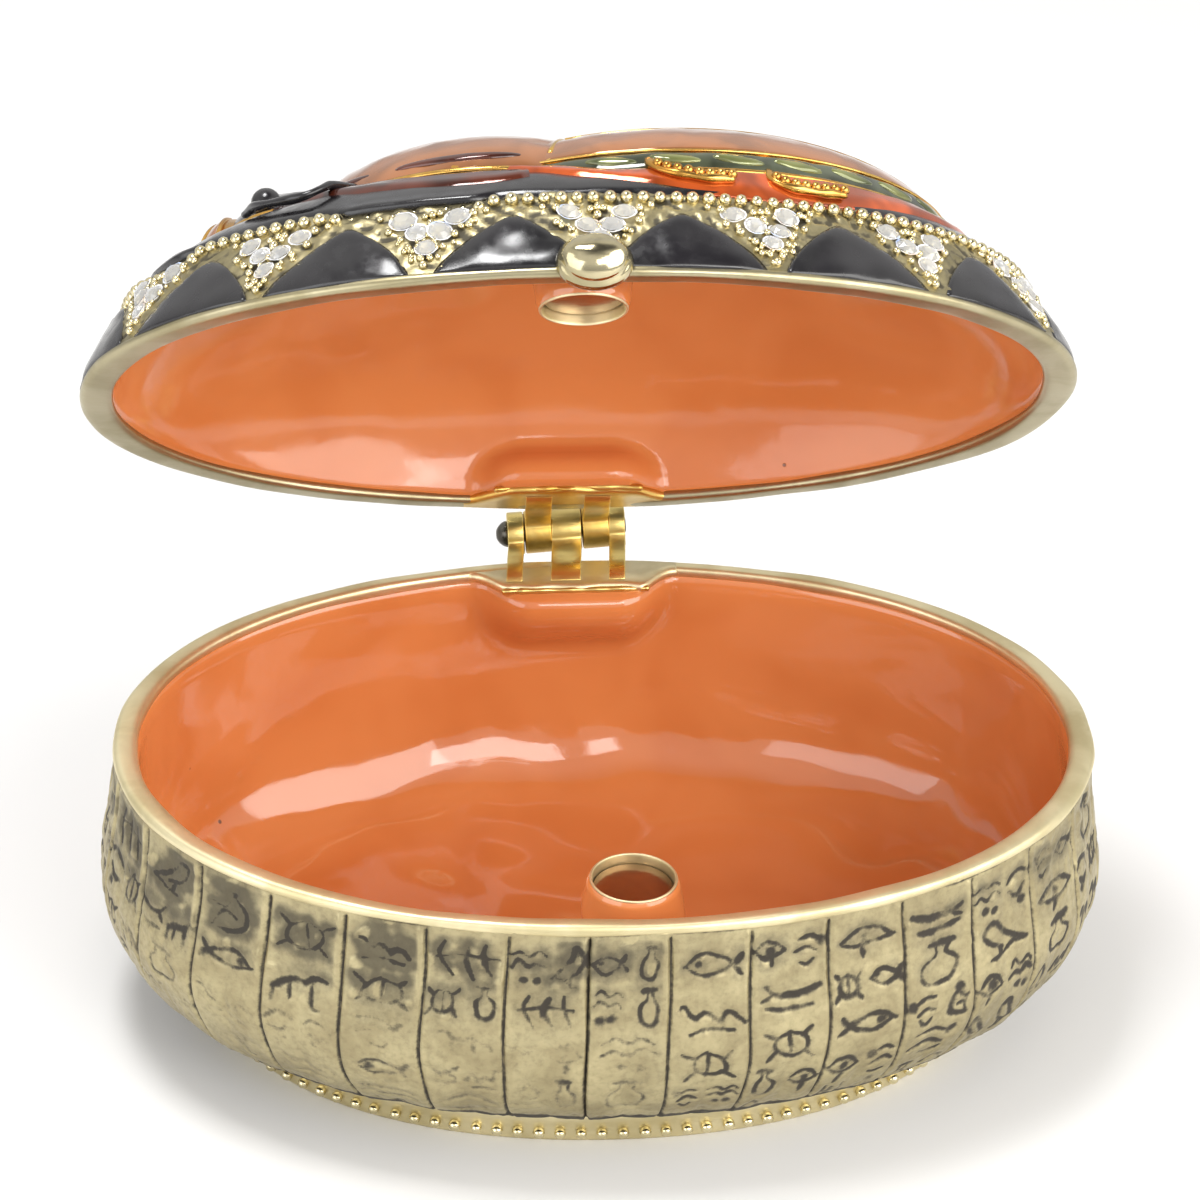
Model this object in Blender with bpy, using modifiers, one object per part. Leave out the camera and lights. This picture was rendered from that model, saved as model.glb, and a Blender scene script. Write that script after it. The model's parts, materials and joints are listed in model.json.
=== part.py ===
"""Scarab trinket box: a cast oval bowl and a cast oval lid on a knuckle hinge.

World frame: +X runs along the box, -Y is its front, +Z is up. The underside rests on Z = 0
and the oval's centre is the origin. Lengths are in millimetres and become metres in mm().
The lid is modelled shut, and one empty on the hinge's axis then swings it open.
"""

import math

import bmesh
import bpy
import numpy as np
from mathutils import Matrix, Vector

# The oval, shared by bowl and lid
HALF_LENGTH = 37.5
HALF_WIDTH = 26.3
SQUARENESS = 2.1  # 2 is a true ellipse, more is fuller at the corners
NARROWING = HALF_WIDTH / HALF_LENGTH
STEPS = 60

# Heights
RIM_Z = 23.0  # top of the bowl's rim
RIM_GAP = 0.3  # between the two rims when shut
LID_Z = RIM_Z + RIM_GAP  # underside of the lid's rim when shut
RIM_INNER = 35.4  # the rim's inner edge, at the ends of the oval
HALF_WALL = 0.9

# The hinge
AXIS_Y = 30.9
AXIS_Z = RIM_Z + RIM_GAP / 2
HINGE_X = -0.3
HINGE_TILT_DEG = 4.2  # the hinge is soldered on askew, with its right end higher
LID_OPEN_DEG = 47.8
BARREL_R = 1.75
BORE_R = 1.05
PIN_R = 0.75
PIN_HEAD_R = 1.3
PIN_HEAD_RISE = 0.75
PIN_HEAD_SHIFT = 0.35
PIN_INTO_HEAD = 0.2
PIN_CLEARANCE = 0.4  # between the head and the first knuckle
PIN_TAIL = 0.35
KNUCKLE_GAP = 0.3
OUTER_KNUCKLE = 1.3
LID_KNUCKLE = 1.9
MIDDLE_KNUCKLE = 2.2
LEAF_T = 0.55
LEAF_BELOW_RIM = 0.1
LEAF_INNER_Y = 22.3
LEAF_OUTER_Y = 25.8
STRAP_START_Y = 25.2
STRAP_END_Y = AXIS_Y - 0.9
SEAT_BELOW_RIM = 0.04  # the boss under the leaf, against the rim
SEAT_HALF = 5.9
SEAT_DEPTH = 7.0
SEAT_INNER_Y = 20.7
SEAT_OUTER_Y = 25.2
SEAT_ROUNDING = 1.1
OVER = 2.0  # how far a cutter reaches past what it cuts
FIT = 0.3  # gap between pieces that touch

# The magnet cups inside the front wall
CUP_Y = -19.3
BASE_CUP_X = 0.2
LID_CUP_X = -0.2
BASE_CUP_BELOW_RIM = 0.3
LID_CUP_BELOW_RIM = 0.0
CUP_OUTER_R = 3.9
CUP_R = 3.2
MAGNET_R = CUP_R - FIT
MAGNET_T = 2.0
MAGNET_BELOW_CUP = 1.2
WEB_HALF = 3.0
WEB_BELOW_CUP = 0.8
BASE_CUP_DEPTH = 7.2
LID_CUP_DEPTH = 13.0

# The thumb knob on the front of the lid's rim
KNOB_SIZE = (2.4, 2.1, 1.9)  # half width, reach forward, half height
KNOB_BACK_Y = -HALF_WIDTH - 0.4
LUG_HALF = 1.7
LUG_INNER_Y = -25.2
LUG_HEIGHTS = (0.05, 1.15)

# The scarab in relief: centre and half sizes of each swelling, heights above the lid's rim
WING_CASES = ((6.6, 0.0, 8.0), (21.6, 21.4, 9.6))
PRONOTUM = ((-9.8, 0.0, 7.8), (11.0, 19.8, 9.6))
HEAD = ((-20.5, 0.0, 7.6), (7.2, 11.8, 6.8))
CLYPEUS = ((-24.6, 0.0, 7.6), (3.7, 7.4, 4.8))
FULLNESS = 2.4  # of a swelling's section: 2 is an ellipse, more is squarer at the shoulder
LEG_R = 1.2
LEG_TAPER = (1.0, 1.15, 0.9, 0.5)  # share of LEG_R at each point of a leg's route

# Profiles as (half length at the ends of the oval, height), down the outer side and back inside
BOWL_PROFILE = (
    (RIM_INNER + 0.3, 23.0), (37.0, 23.0), (37.3, 22.7), (37.3, 21.6), (37.5, 19.0),
    (38.1, 15.6), (38.6, 12.3), (38.3, 10.2), (37.5, 8.0), (36.1, 5.9), (34.4, 4.3),
    (32.3, 2.9), (30.2, 2.1), (29.7, 1.7), (29.7, 0.5), (29.2, 0.0), (0.0, 0.0),
)
BOWL_INSIDE = (
    (0.0, 2.1), (14.0, 2.2), (24.0, 2.7), (29.2, 3.9), (32.6, 6.0), (34.7, 8.8),
    (35.8, 12.5), (35.6, 17.0), (RIM_INNER, 21.0), (RIM_INNER, 22.7),
)
LID_PROFILE = (
    (0.0, 16.9), (12.0, 15.7), (20.0, 13.7), (25.5, 11.7), (28.8, 10.3), (31.0, 9.1),
    (32.8, 7.8), (34.1, 6.4), (35.1, 5.0), (36.2, 3.0), (37.2, 1.2), (37.5, 0.9), (37.5, 0.3),
    (37.2, 0.0),
)
LID_INSIDE = (
    (35.3, 0.0), (35.0, 0.3), (34.8, 1.5), (33.8, 3.6), (32.2, 5.7), (29.7, 7.8),
    (26.0, 9.9), (20.5, 12.0), (13.0, 13.9), (6.0, 14.9), (0.0, 15.1),
)


def mm(*values):
    """Millimetres to metres, as a number or a vector."""
    metres = [value * 0.001 for value in values]
    return metres[0] if len(metres) == 1 else Vector(metres)


def clear_scene():
    for obj in list(bpy.data.objects):
        bpy.data.objects.remove(obj, do_unlink=True)


def new_collection(name, hidden=False):
    collection = bpy.data.collections.new(name)
    bpy.context.scene.collection.children.link(collection)
    collection.hide_render = hidden
    return collection


def metal(name, colour, roughness, metallic=1.0):
    material = bpy.data.materials.new(name)
    material.use_nodes = True
    shader = material.node_tree.nodes["Principled BSDF"]
    shader.inputs["Base Color"].default_value = (*colour, 1.0)
    shader.inputs["Roughness"].default_value = roughness
    shader.inputs["Metallic"].default_value = metallic
    return material


def add_object(name, mesh):
    """A helper solid until name_part makes it a piece of the box."""
    obj = bpy.data.objects.new(name, mesh)
    HELPERS.objects.link(obj)
    obj.hide_render = True
    obj.display_type = "WIRE"
    return obj


def from_bmesh(name, bm):
    mesh = bpy.data.meshes.new(name)
    bm.to_mesh(mesh)
    bm.free()
    return add_object(name, mesh)


def baked(obj):
    """The object with its modifiers applied, under the same name."""
    graph = bpy.context.evaluated_depsgraph_get()
    mesh = bpy.data.meshes.new_from_object(obj.evaluated_get(graph))
    name = obj.name
    bpy.data.objects.remove(obj, do_unlink=True)
    return add_object(name, mesh)


def squared_oval(mesh):
    """Turns a round solid into the box's oval.

    A point at angle a and radius r goes to r * |cos a|^(2/n) along X and, narrowed, to
    r * |sin a|^(2/n) along Y, each with its own sign, where n is SQUARENESS.
    """
    points = np.empty(len(mesh.vertices) * 3, np.float32)
    mesh.vertices.foreach_get("co", points)
    points = points.reshape(-1, 3).astype(float)
    radius = np.hypot(points[:, 0], points[:, 1])
    angle = np.arctan2(points[:, 1], points[:, 0])
    power = 2 / SQUARENESS
    for axis, part, scale in ((0, np.cos(angle), 1.0), (1, np.sin(angle), NARROWING)):
        part = np.where(np.abs(part) < 1e-6, 0.0, part)
        points[:, axis] = radius * scale * np.sign(part) * np.abs(part) ** power
    mesh.vertices.foreach_set("co", points.astype(np.float32).ravel())


def turned_oval(name, profile, base_z=0.0):
    """An oval solid from a closed profile, turned about Z and then squared."""
    mesh = bpy.data.meshes.new(name)
    corners = [mm(half_length, 0.0, base_z + height) for half_length, height in profile]
    pairs = [(i, (i + 1) % len(corners)) for i in range(len(corners))]
    edges = [(i, j) for i, j in pairs if profile[i][0] > 0 or profile[j][0] > 0]
    mesh.from_pydata(corners, edges, [])
    obj = add_object(name, mesh)
    screw = obj.modifiers.new("turn", "SCREW")
    screw.steps = screw.render_steps = STEPS
    screw.use_merge_vertices = True
    screw.merge_threshold = 0.00001
    obj = baked(obj)
    squared_oval(obj.data)
    return obj


def ellipsoid(name, centre, half_sizes, base_z=0.0, segments=32, rings=16, fullness=2.0):
    """A ball stretched to half_sizes.

    Past a fullness n of 2 its latitude a moves to radius |cos a|^(2/n) and height |sin a|^(2/n).
    """
    bm = bmesh.new()
    bmesh.ops.create_uvsphere(bm, u_segments=segments, v_segments=rings, radius=1.0)
    for vertex in bm.verts:
        flat = math.hypot(vertex.co.x, vertex.co.y)
        if flat > 1e-6:
            vertex.co.xy *= flat ** (2 / fullness - 1)
        vertex.co.z = math.copysign(abs(vertex.co.z) ** (2 / fullness), vertex.co.z)
    place = Matrix.Translation(mm(centre[0], centre[1], base_z + centre[2]))
    bmesh.ops.transform(bm, matrix=place @ Matrix.Diagonal((*mm(*half_sizes), 1.0)), verts=bm.verts)
    return from_bmesh(name, bm)


def block(name, low, high, rounding=0.0):
    """A box between two corners, its edges rounded off by a bevel."""
    low, high = mm(*low), mm(*high)
    bm = bmesh.new()
    bmesh.ops.create_cube(bm, size=1.0)
    place = Matrix.Translation((low + high) / 2) @ Matrix.Diagonal((*(high - low), 1.0))
    bmesh.ops.transform(bm, matrix=place, verts=bm.verts)
    if rounding:
        bmesh.ops.bevel(bm, geom=bm.edges[:], offset=mm(rounding), segments=3, profile=0.5, affect="EDGES")
    return from_bmesh(name, bm)


def rod(name, start, end, radius, sides=32):
    """A round bar between two points."""
    start, end = mm(*start), mm(*end)
    bm = bmesh.new()
    length = (end - start).length
    bmesh.ops.create_cone(
        bm, cap_ends=True, segments=sides, radius1=mm(radius), radius2=mm(radius), depth=length
    )
    turn = (end - start).to_track_quat("Z", "Y").to_matrix().to_4x4()
    bmesh.ops.transform(bm, matrix=Matrix.Translation((start + end) / 2) @ turn, verts=bm.verts)
    return from_bmesh(name, bm)


def bent_rod(name, route, radius):
    """A limb along a smooth route, as a bevelled curve made into a mesh."""
    curve = bpy.data.curves.new(name, "CURVE")
    curve.dimensions = "3D"
    curve.bevel_depth = mm(radius)
    curve.bevel_resolution = 1
    curve.resolution_u = 3
    curve.use_fill_caps = True
    spline = curve.splines.new("NURBS")
    spline.points.add(len(route) - 1)
    for point, place, thickness in zip(spline.points, route, LEG_TAPER):
        point.co = (*mm(*place), 1.0)
        point.radius = thickness
    spline.order_u = 3
    spline.use_endpoint_u = True
    obj = baked(add_object(name, curve))
    bm = bmesh.new()
    bm.from_mesh(obj.data)
    bmesh.ops.remove_doubles(bm, verts=bm.verts, dist=mm(0.001))
    bm.to_mesh(obj.data)
    bm.free()
    return obj


def boolean(obj, operation, others):
    for other in others:
        modifier = obj.modifiers.new(other.name, "BOOLEAN")
        modifier.operation = operation
        modifier.solver = "EXACT"
        modifier.object = other


def name_part(obj, name, material, moving=False, sharp_deg=35.0):
    """Bakes a helper into a finished piece, in the box's collection and with its material."""
    obj = baked(obj)
    HELPERS.objects.unlink(obj)
    BOX.objects.link(obj)
    obj.name = name
    obj.hide_render = False
    obj.display_type = "TEXTURED"
    bm = bmesh.new()
    bm.from_mesh(obj.data)
    bmesh.ops.remove_doubles(bm, verts=bm.verts, dist=mm(0.0008))
    bmesh.ops.dissolve_degenerate(bm, edges=bm.edges, dist=mm(0.0008))
    bm.to_mesh(obj.data)
    bm.free()
    obj.data.materials.clear()
    obj.data.materials.append(material)
    obj.data.shade_smooth()
    obj.data.set_sharp_from_angle(angle=math.radians(sharp_deg))
    if moving:
        obj.parent = HINGE_AXIS
        obj.matrix_parent_inverse = Matrix.Translation(-mm(HINGE_X, AXIS_Y, AXIS_Z))
    return obj


def leaf_heights(side):
    """The leaf's two faces, from the rim outwards: side -1 is the bowl's leaf, 1 the lid's."""
    rim = RIM_Z if side < 0 else LID_Z
    near = rim + side * LEAF_BELOW_RIM
    return rim, near, near + side * LEAF_T


def hinge_seat(name, side):
    """A soft-cornered boss inside the back wall that carries the leaf."""
    rim = RIM_Z if side < 0 else LID_Z
    far, over = rim + side * SEAT_DEPTH, rim - side * OVER
    low = (HINGE_X - SEAT_HALF, SEAT_INNER_Y, min(far, over))
    high = (HINGE_X + SEAT_HALF, SEAT_OUTER_Y, max(far, over))
    seat = block(name, low, high, rounding=SEAT_ROUNDING)
    ends = sorted((rim + side * SEAT_BELOW_RIM, over - side * OVER))
    past = HALF_LENGTH / 2
    cutter = block(name + "_top", (-past, SEAT_INNER_Y - OVER, ends[0]), (past, AXIS_Y, ends[1]))
    boolean(seat, "DIFFERENCE", [cutter])
    return baked(seat)


def leaf_pocket(name, side):
    """What is cut from the rim and the boss so that the leaf lies just under the rim."""
    rim, _, face = leaf_heights(side)
    floor, over = face + side * FIT, rim - side * OVER
    half = hinge_half_length() + FIT
    low = (HINGE_X - half, LEAF_INNER_Y - FIT, min(floor, over))
    high = (HINGE_X + half, HALF_WIDTH + OVER, max(floor, over))
    return block(name, low, high)


def hinge_half_length():
    return OUTER_KNUCKLE + LID_KNUCKLE + MIDDLE_KNUCKLE / 2 + 2 * KNUCKLE_GAP


def knuckle_spans(side):
    """Start and end along X of each knuckle of one leaf."""
    half = hinge_half_length()
    inner = MIDDLE_KNUCKLE / 2
    if side < 0:
        spans = ((-half, -half + OUTER_KNUCKLE), (-inner, inner), (half - OUTER_KNUCKLE, half))
    else:
        near = inner + KNUCKLE_GAP
        spans = ((-near - LID_KNUCKLE, -near), (near, near + LID_KNUCKLE))
    return [(HINGE_X + start, HINGE_X + end) for start, end in spans]


def tilted(obj):
    """Turns a helper with the hinge's axis, about the middle of the hinge."""
    centre = mm(HINGE_X, AXIS_Y, AXIS_Z)
    turn = Matrix.Rotation(-math.radians(HINGE_TILT_DEG), 4, "Y")
    obj.data.transform(Matrix.Translation(centre) @ turn @ Matrix.Translation(-centre))
    return obj


def along_axis(name, start_x, end_x, radius, sides):
    """A round bar on the hinge's axis."""
    return tilted(rod(name, (start_x, AXIS_Y, AXIS_Z), (end_x, AXIS_Y, AXIS_Z), radius, sides))


def make_leaf(name, side, material):
    """A plate under the rim with one strap and one bored knuckle for each span."""
    _, near, face = leaf_heights(side)
    low_z, high_z = min(near, face), max(near, face)
    half = hinge_half_length()
    leaf = block(name, (HINGE_X - half, LEAF_INNER_Y, low_z), (HINGE_X + half, LEAF_OUTER_Y, high_z))
    additions = []
    for number, (start, end) in enumerate(knuckle_spans(side)):
        strap_low, strap_high = (start, STRAP_START_Y, low_z), (end, STRAP_END_Y, high_z)
        strap = block(f"{name}_strap_{number}", strap_low, strap_high)
        knuckle = along_axis(f"{name}_knuckle_{number}", start, end, BARREL_R, 24)
        additions += [strap, knuckle]
    bore = along_axis(f"{name}_bore", HINGE_X - half - OVER, HINGE_X + half + OVER, BORE_R, 20)
    boolean(leaf, "UNION", additions)
    boolean(leaf, "DIFFERENCE", [bore])
    return name_part(leaf, name, material, moving=side > 0)


def make_pin(material):
    """The hinge's pin, with a domed head at its left end."""
    half = hinge_half_length()
    head_x = HINGE_X - half - PIN_CLEARANCE
    pin = along_axis("pin", head_x - PIN_INTO_HEAD, HINGE_X + half + PIN_TAIL, PIN_R, 16)
    head_sizes = (PIN_HEAD_RISE, PIN_HEAD_R, PIN_HEAD_R)
    head_centre = (head_x - PIN_HEAD_SHIFT, AXIS_Y, AXIS_Z)
    head = tilted(ellipsoid("pin_head", head_centre, head_sizes, 0.0, 16, 10))
    past = PIN_HEAD_R + OVER
    low = (head_x, AXIS_Y - past, AXIS_Z - past)
    high = (head_x + past, AXIS_Y + past, AXIS_Z + past)
    trim = tilted(block("pin_head_trim", low, high))
    boolean(head, "DIFFERENCE", [trim])
    boolean(pin, "UNION", [head])
    return name_part(pin, "hinge_pin", material)


def cup_top(side):
    """Height of a cup's lip: a little under the bowl's rim, and level with the lid's."""
    return RIM_Z - BASE_CUP_BELOW_RIM if side < 0 else LID_Z + LID_CUP_BELOW_RIM


def magnet_cup(name, side, x, depth, mass):
    """The post that holds a magnet and the web that ties it to the front wall.

    Both stop inside mass, the solid of the shell's outline, so nothing comes through the wall.
    """
    top = cup_top(side)
    foot = (RIM_Z if side < 0 else LID_Z) + side * depth
    post = rod(f"{name}_post", (x, CUP_Y, foot), (x, CUP_Y, top), CUP_OUTER_R)
    web_top = top + side * WEB_BELOW_CUP
    low = (x - WEB_HALF, -HALF_WIDTH, min(web_top, foot))
    high = (x + WEB_HALF, CUP_Y, max(web_top, foot))
    web = block(f"{name}_web", low, high)
    trimmed = []
    for piece in (post, web):
        boolean(piece, "INTERSECT", [mass])
        trimmed.append(baked(piece))
    return trimmed


def magnet_heights(side):
    """Faces of the magnet: the one that shows, and the one at the bottom of its pocket."""
    face = cup_top(side) + side * MAGNET_BELOW_CUP
    return face, face + side * MAGNET_T


def make_magnet(name, side, x, material):
    face, back = magnet_heights(side)
    disc = rod(name, (x, CUP_Y, min(face, back)), (x, CUP_Y, max(face, back)), MAGNET_R)
    bevel = disc.modifiers.new("edge", "BEVEL")
    bevel.width = mm(0.15)
    bevel.segments = 1
    return name_part(disc, name, material, moving=side > 0)


def magnet_pocket(name, side, x):
    _, back = magnet_heights(side)
    rim = RIM_Z if side < 0 else LID_Z
    ends = sorted((back + side * FIT, rim - side * OVER))
    return rod(name, (x, CUP_Y, ends[0]), (x, CUP_Y, ends[1]), CUP_R)


def make_bowl(material):
    bowl = turned_oval("bowl", BOWL_PROFILE + BOWL_INSIDE)
    mass = turned_oval("bowl_mass", [(0.0, RIM_Z)] + inset(BOWL_PROFILE))
    cup = magnet_cup("bowl_cup", -1, BASE_CUP_X, BASE_CUP_DEPTH, mass)
    boolean(bowl, "UNION", [hinge_seat("bowl_seat", -1)] + cup)
    pocket = magnet_pocket("bowl_cup_pocket", -1, BASE_CUP_X)
    boolean(bowl, "DIFFERENCE", [leaf_pocket("bowl_pocket", -1), pocket])
    return name_part(bowl, "base_bowl", material)


def scarab_legs():
    """Three pairs of folded legs: each goes out over the ledge and turns along it."""
    routes = (
        ((-14.5, 14.0, 12.0), (-18.5, 18.4, 10.4), (-23.0, 15.6, 10.6), (-26.0, 10.6, 10.6)),
        ((-6.0, 17.5, 12.0), (-6.2, 22.4, 9.4), (0.0, 21.8, 9.8), (5.0, 21.6, 9.4)),
        ((8.0, 18.4, 12.0), (12.0, 21.6, 9.6), (17.0, 18.6, 10.3), (22.6, 15.6, 10.2)),
    )
    legs = []
    for pair, route in enumerate(routes):
        for side in (-1, 1):
            lifted = [(x, side * y, LID_Z + h) for x, y, h in route]
            legs.append(bent_rod(f"leg_{pair}_{'right' if side > 0 else 'left'}", lifted, LEG_R))
    return legs


def inset(profile):
    """An outer profile drawn in to the middle of its wall."""
    return [(max(half_length - HALF_WALL, 0.0), height) for half_length, height in profile]


def thumb_knob():
    """A half ellipsoid on the lid's front, flat behind, and the lug that joins it to the rim."""
    knob = ellipsoid("knob", (0.0, KNOB_BACK_Y, 0.0), KNOB_SIZE, LID_Z, 24, 16)
    past = max(KNOB_SIZE) + OVER
    behind = block(
        "knob_back", (-past, KNOB_BACK_Y, LID_Z - past), (past, KNOB_BACK_Y + past, LID_Z + past)
    )
    boolean(knob, "DIFFERENCE", [behind])
    low, high = [LID_Z + height for height in LUG_HEIGHTS]
    lug = block("knob_lug", (-LUG_HALF, KNOB_BACK_Y - 0.5, low), (LUG_HALF, LUG_INNER_Y, high))
    return [knob, lug]


def make_lid(material):
    lid = turned_oval("lid", LID_PROFILE + LID_INSIDE, LID_Z)
    swellings = (
        ("wing_cases", WING_CASES, 36),
        ("pronotum", PRONOTUM, 28),
        ("head", HEAD, 20),
        ("clypeus", CLYPEUS, 18),
    )
    relief = [
        ellipsoid(name, centre, sizes, LID_Z, segments, 14, FULLNESS)
        for name, (centre, sizes), segments in swellings
    ]
    inside = turned_oval("lid_cavity", lid_cavity_profile(), LID_Z)
    relief += scarab_legs()
    boolean(lid, "UNION", relief)
    boolean(lid, "DIFFERENCE", [inside])
    mass = turned_oval("lid_mass", inset(LID_PROFILE) + [(0.0, 0.0)], LID_Z)
    cup = magnet_cup("lid_cup", 1, LID_CUP_X, LID_CUP_DEPTH, mass)
    boolean(lid, "UNION", [hinge_seat("lid_seat", 1)] + cup)
    pocket = magnet_pocket("lid_cup_pocket", 1, LID_CUP_X)
    boolean(lid, "DIFFERENCE", [leaf_pocket("lid_pocket", 1), pocket])
    boolean(lid, "UNION", thumb_knob())
    return name_part(lid, "lid_shell", material, moving=True)


def lid_cavity_profile():
    """The lid's hollow as a solid, a hair inside its wall, to clear what the relief puts there."""
    inner = [(max(r - 0.02, 0.0), h) for r, h in LID_INSIDE[1:-1]]
    below = -WING_CASES[1][2]
    return [(0.0, LID_INSIDE[-1][1] - 0.02)] + inner[::-1] + [(LID_INSIDE[1][0] - 0.02, below), (0.0, below)]


clear_scene()
BOX = new_collection("scarab_trinket_box")
HELPERS = new_collection("helpers", hidden=True)
HINGE_AXIS = bpy.data.objects.new("lid_hinge_axis", None)
BOX.objects.link(HINGE_AXIS)
HINGE_AXIS.location = mm(HINGE_X, AXIS_Y, AXIS_Z)
HINGE_AXIS.rotation_mode = "AXIS_ANGLE"
tilt = math.radians(HINGE_TILT_DEG)
HINGE_AXIS.rotation_axis_angle = (-math.radians(LID_OPEN_DEG), math.cos(tilt), 0.0, math.sin(tilt))

cast_gold = metal("cast_gold", (0.55, 0.47, 0.28), 0.38)
yellow_brass = metal("yellow_brass", (0.75, 0.55, 0.20), 0.25)
steel = metal("steel", (0.25, 0.23, 0.20), 0.35)
magnet_nickel = metal("magnet_nickel", (0.62, 0.60, 0.57), 0.22)

make_bowl(cast_gold)
make_lid(cast_gold)
make_leaf("hinge_base_leaf", -1, yellow_brass)
make_leaf("hinge_lid_leaf", 1, yellow_brass)
make_pin(steel)
make_magnet("base_magnet", -1, BASE_CUP_X, magnet_nickel)
make_magnet("lid_magnet", 1, LID_CUP_X, magnet_nickel)
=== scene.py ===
"""Scarab trinket box: the cast relief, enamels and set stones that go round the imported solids.

Lengths are millimetres until a mesh or a material is made, and the box stands on Z = 0 with its
front towards -Y. Whatever belongs to the lid is worked out with the lid shut, and swung() then
opens it about the hinge, as the frame has it.
"""

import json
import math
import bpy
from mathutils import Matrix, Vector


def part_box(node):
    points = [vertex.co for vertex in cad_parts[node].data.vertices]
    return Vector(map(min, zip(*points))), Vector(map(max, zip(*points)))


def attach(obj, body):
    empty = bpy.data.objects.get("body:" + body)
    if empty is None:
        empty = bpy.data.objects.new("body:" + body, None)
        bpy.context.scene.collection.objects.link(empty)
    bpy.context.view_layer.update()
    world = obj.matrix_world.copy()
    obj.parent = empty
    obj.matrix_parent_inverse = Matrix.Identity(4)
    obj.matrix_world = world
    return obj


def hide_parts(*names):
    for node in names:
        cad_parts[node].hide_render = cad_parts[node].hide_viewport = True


bl_info = {
    "name": "Scarab Trinket Box",
    "version": (1, 0, 0),
    "blender": (4, 5, 0),
    "location": "3D View > Sidebar > Trinket Box",
    "description": "Cast relief, enamels, beads and stones of a hinged scarab trinket box",
    "category": "Add Mesh",
}

import bpy
import numpy as np
from bpy.props import FloatProperty, FloatVectorProperty, IntProperty, PointerProperty
from mathutils import Matrix, Vector

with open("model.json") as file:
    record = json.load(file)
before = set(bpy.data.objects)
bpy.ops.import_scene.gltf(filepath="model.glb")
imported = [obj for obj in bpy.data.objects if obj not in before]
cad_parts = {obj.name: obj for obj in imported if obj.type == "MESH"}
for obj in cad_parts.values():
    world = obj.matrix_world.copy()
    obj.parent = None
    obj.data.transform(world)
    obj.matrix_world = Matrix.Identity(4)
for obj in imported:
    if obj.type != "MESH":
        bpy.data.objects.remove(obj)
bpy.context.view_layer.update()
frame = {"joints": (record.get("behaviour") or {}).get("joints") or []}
HINGE = frame["joints"][0]

MM = 0.001
TAU = 2 * math.pi

# The oval that bowl and lid share, and the heights that hang on the frame
HALF_LENGTH = 37.5
HALF_WIDTH = 26.3
SQUARENESS = 2.1
NARROWING = HALF_WIDTH / HALF_LENGTH
RIM_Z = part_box("base_bowl")[1].z / MM
RIM_GAP = 0.3
LID_Z = RIM_Z + RIM_GAP
AXIS_Y = HINGE["pos_m"][1] / MM
AXIS_Z = HINGE["pos_m"][2] / MM
LID_OPEN = -math.radians(HINGE["range_deg"][0])

# The hinge
HINGE_X = HINGE["pos_m"][0] / MM
HINGE_WAY = Vector(HINGE["axis"])
HINGE_TILT = math.asin(-HINGE["axis"][2])
BARREL_R = 1.75
OUTER_KNUCKLE = 1.3
LID_KNUCKLE = 1.9
MIDDLE_KNUCKLE = 2.2
KNUCKLE_GAP = 0.3
HINGE_HALF = OUTER_KNUCKLE + LID_KNUCKLE + MIDDLE_KNUCKLE / 2 + 2 * KNUCKLE_GAP
LEAF_INNER_Y = 22.3
LEAF_OUTER_Y = 25.8
SEAT_HALF = 5.9
SEAT_INNER_Y = 20.7
PLATE_REACH = 8.4
PLATE_HALF_HEIGHT = 0.42
STRAP_HEIGHT = 0.5
STRAP_EDGE = 0.12

# The magnets and their cups
CUP_Y = -19.3
BASE_CUP_X = 0.2
LID_CUP_X = -0.2
BASE_CUP_BELOW_RIM = 0.3
LID_CUP_BELOW_RIM = 0.0
CUP_HOLE_R = 3.2
CUP_HOLE_DEPTH = 2.0
MAGNET_R = 2.97
MAGNET_DEPTH = 2.6

# The scarab: centre (with its height over the lid's rim) and half sizes of each swelling
WING_CASES = ((6.6, 0.0, 8.0), (22.8, 21.4, 9.7))
PRONOTUM = ((-6.2, 0.0, 7.8), (16.6, 19.8, 10.0))
HEAD = ((-20.5, 0.0, 7.6), (7.4, 12.4, 7.6))
CLYPEUS = ((-25.4, 0.0, 7.6), (3.9, 8.4, 6.4))
FULLNESS = 2.4
LEG_ROUTES = (
    ((-16.5, 14.6, 11.6), (-19.6, 17.6, 10.6), (-22.8, 15.4, 10.6), (-24.6, 12.0, 10.6)),
    ((4.6, 20.2, 11.8), (5.4, 22.0, 10.2), (8.0, 22.5, 9.6), (10.6, 22.1, 9.4)),
    ((13.2, 19.6, 11.4), (13.9, 21.2, 10.0), (16.2, 20.9, 9.6), (18.8, 19.8, 9.5)),
)

# Profiles as (half length at the ends of the oval, height)
WALL = (
    (37.25, 22.4), (37.3, 21.4), (37.5, 19.0), (38.1, 15.6), (38.6, 12.3), (38.3, 10.2), (37.5, 8.0),
    (36.3, 6.1), (34.7, 4.7), (32.5, 3.65), (30.6, 2.85),
)
WALL_BACK = ((29.9, 2.95), (33.4, 5.6), (35.6, 8.6), (36.6, 12.5), (36.4, 19.0), (36.1, 22.3))
RIM = (
    (36.4, 22.0), (37.2, 22.2), (37.36, 22.42), (37.32, 22.7), (37.05, 22.98), (36.4, 23.02),
    (35.75, 23.0), (35.44, 22.8), (35.42, 22.3), (35.7, 22.0), (36.0, 21.9),
)
LINING = (
    (35.7, 22.4), (35.44, 22.34), (35.36, 22.1), (35.4, 21.0), (35.6, 17.0), (35.8, 12.5),
    (34.7, 8.8), (32.6, 6.0), (29.2, 3.9), (24.0, 2.7), (14.0, 2.2), (0.0, 2.1),
)
FOOT = (
    (28.9, 3.4), (30.1, 3.05), (30.4, 2.6), (30.2, 2.0), (29.9, 1.4), (29.8, 0.6), (29.9, 0.25),
    (29.6, 0.0), (28.6, 0.0), (28.0, 0.3), (0.0, 0.35),
)
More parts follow.
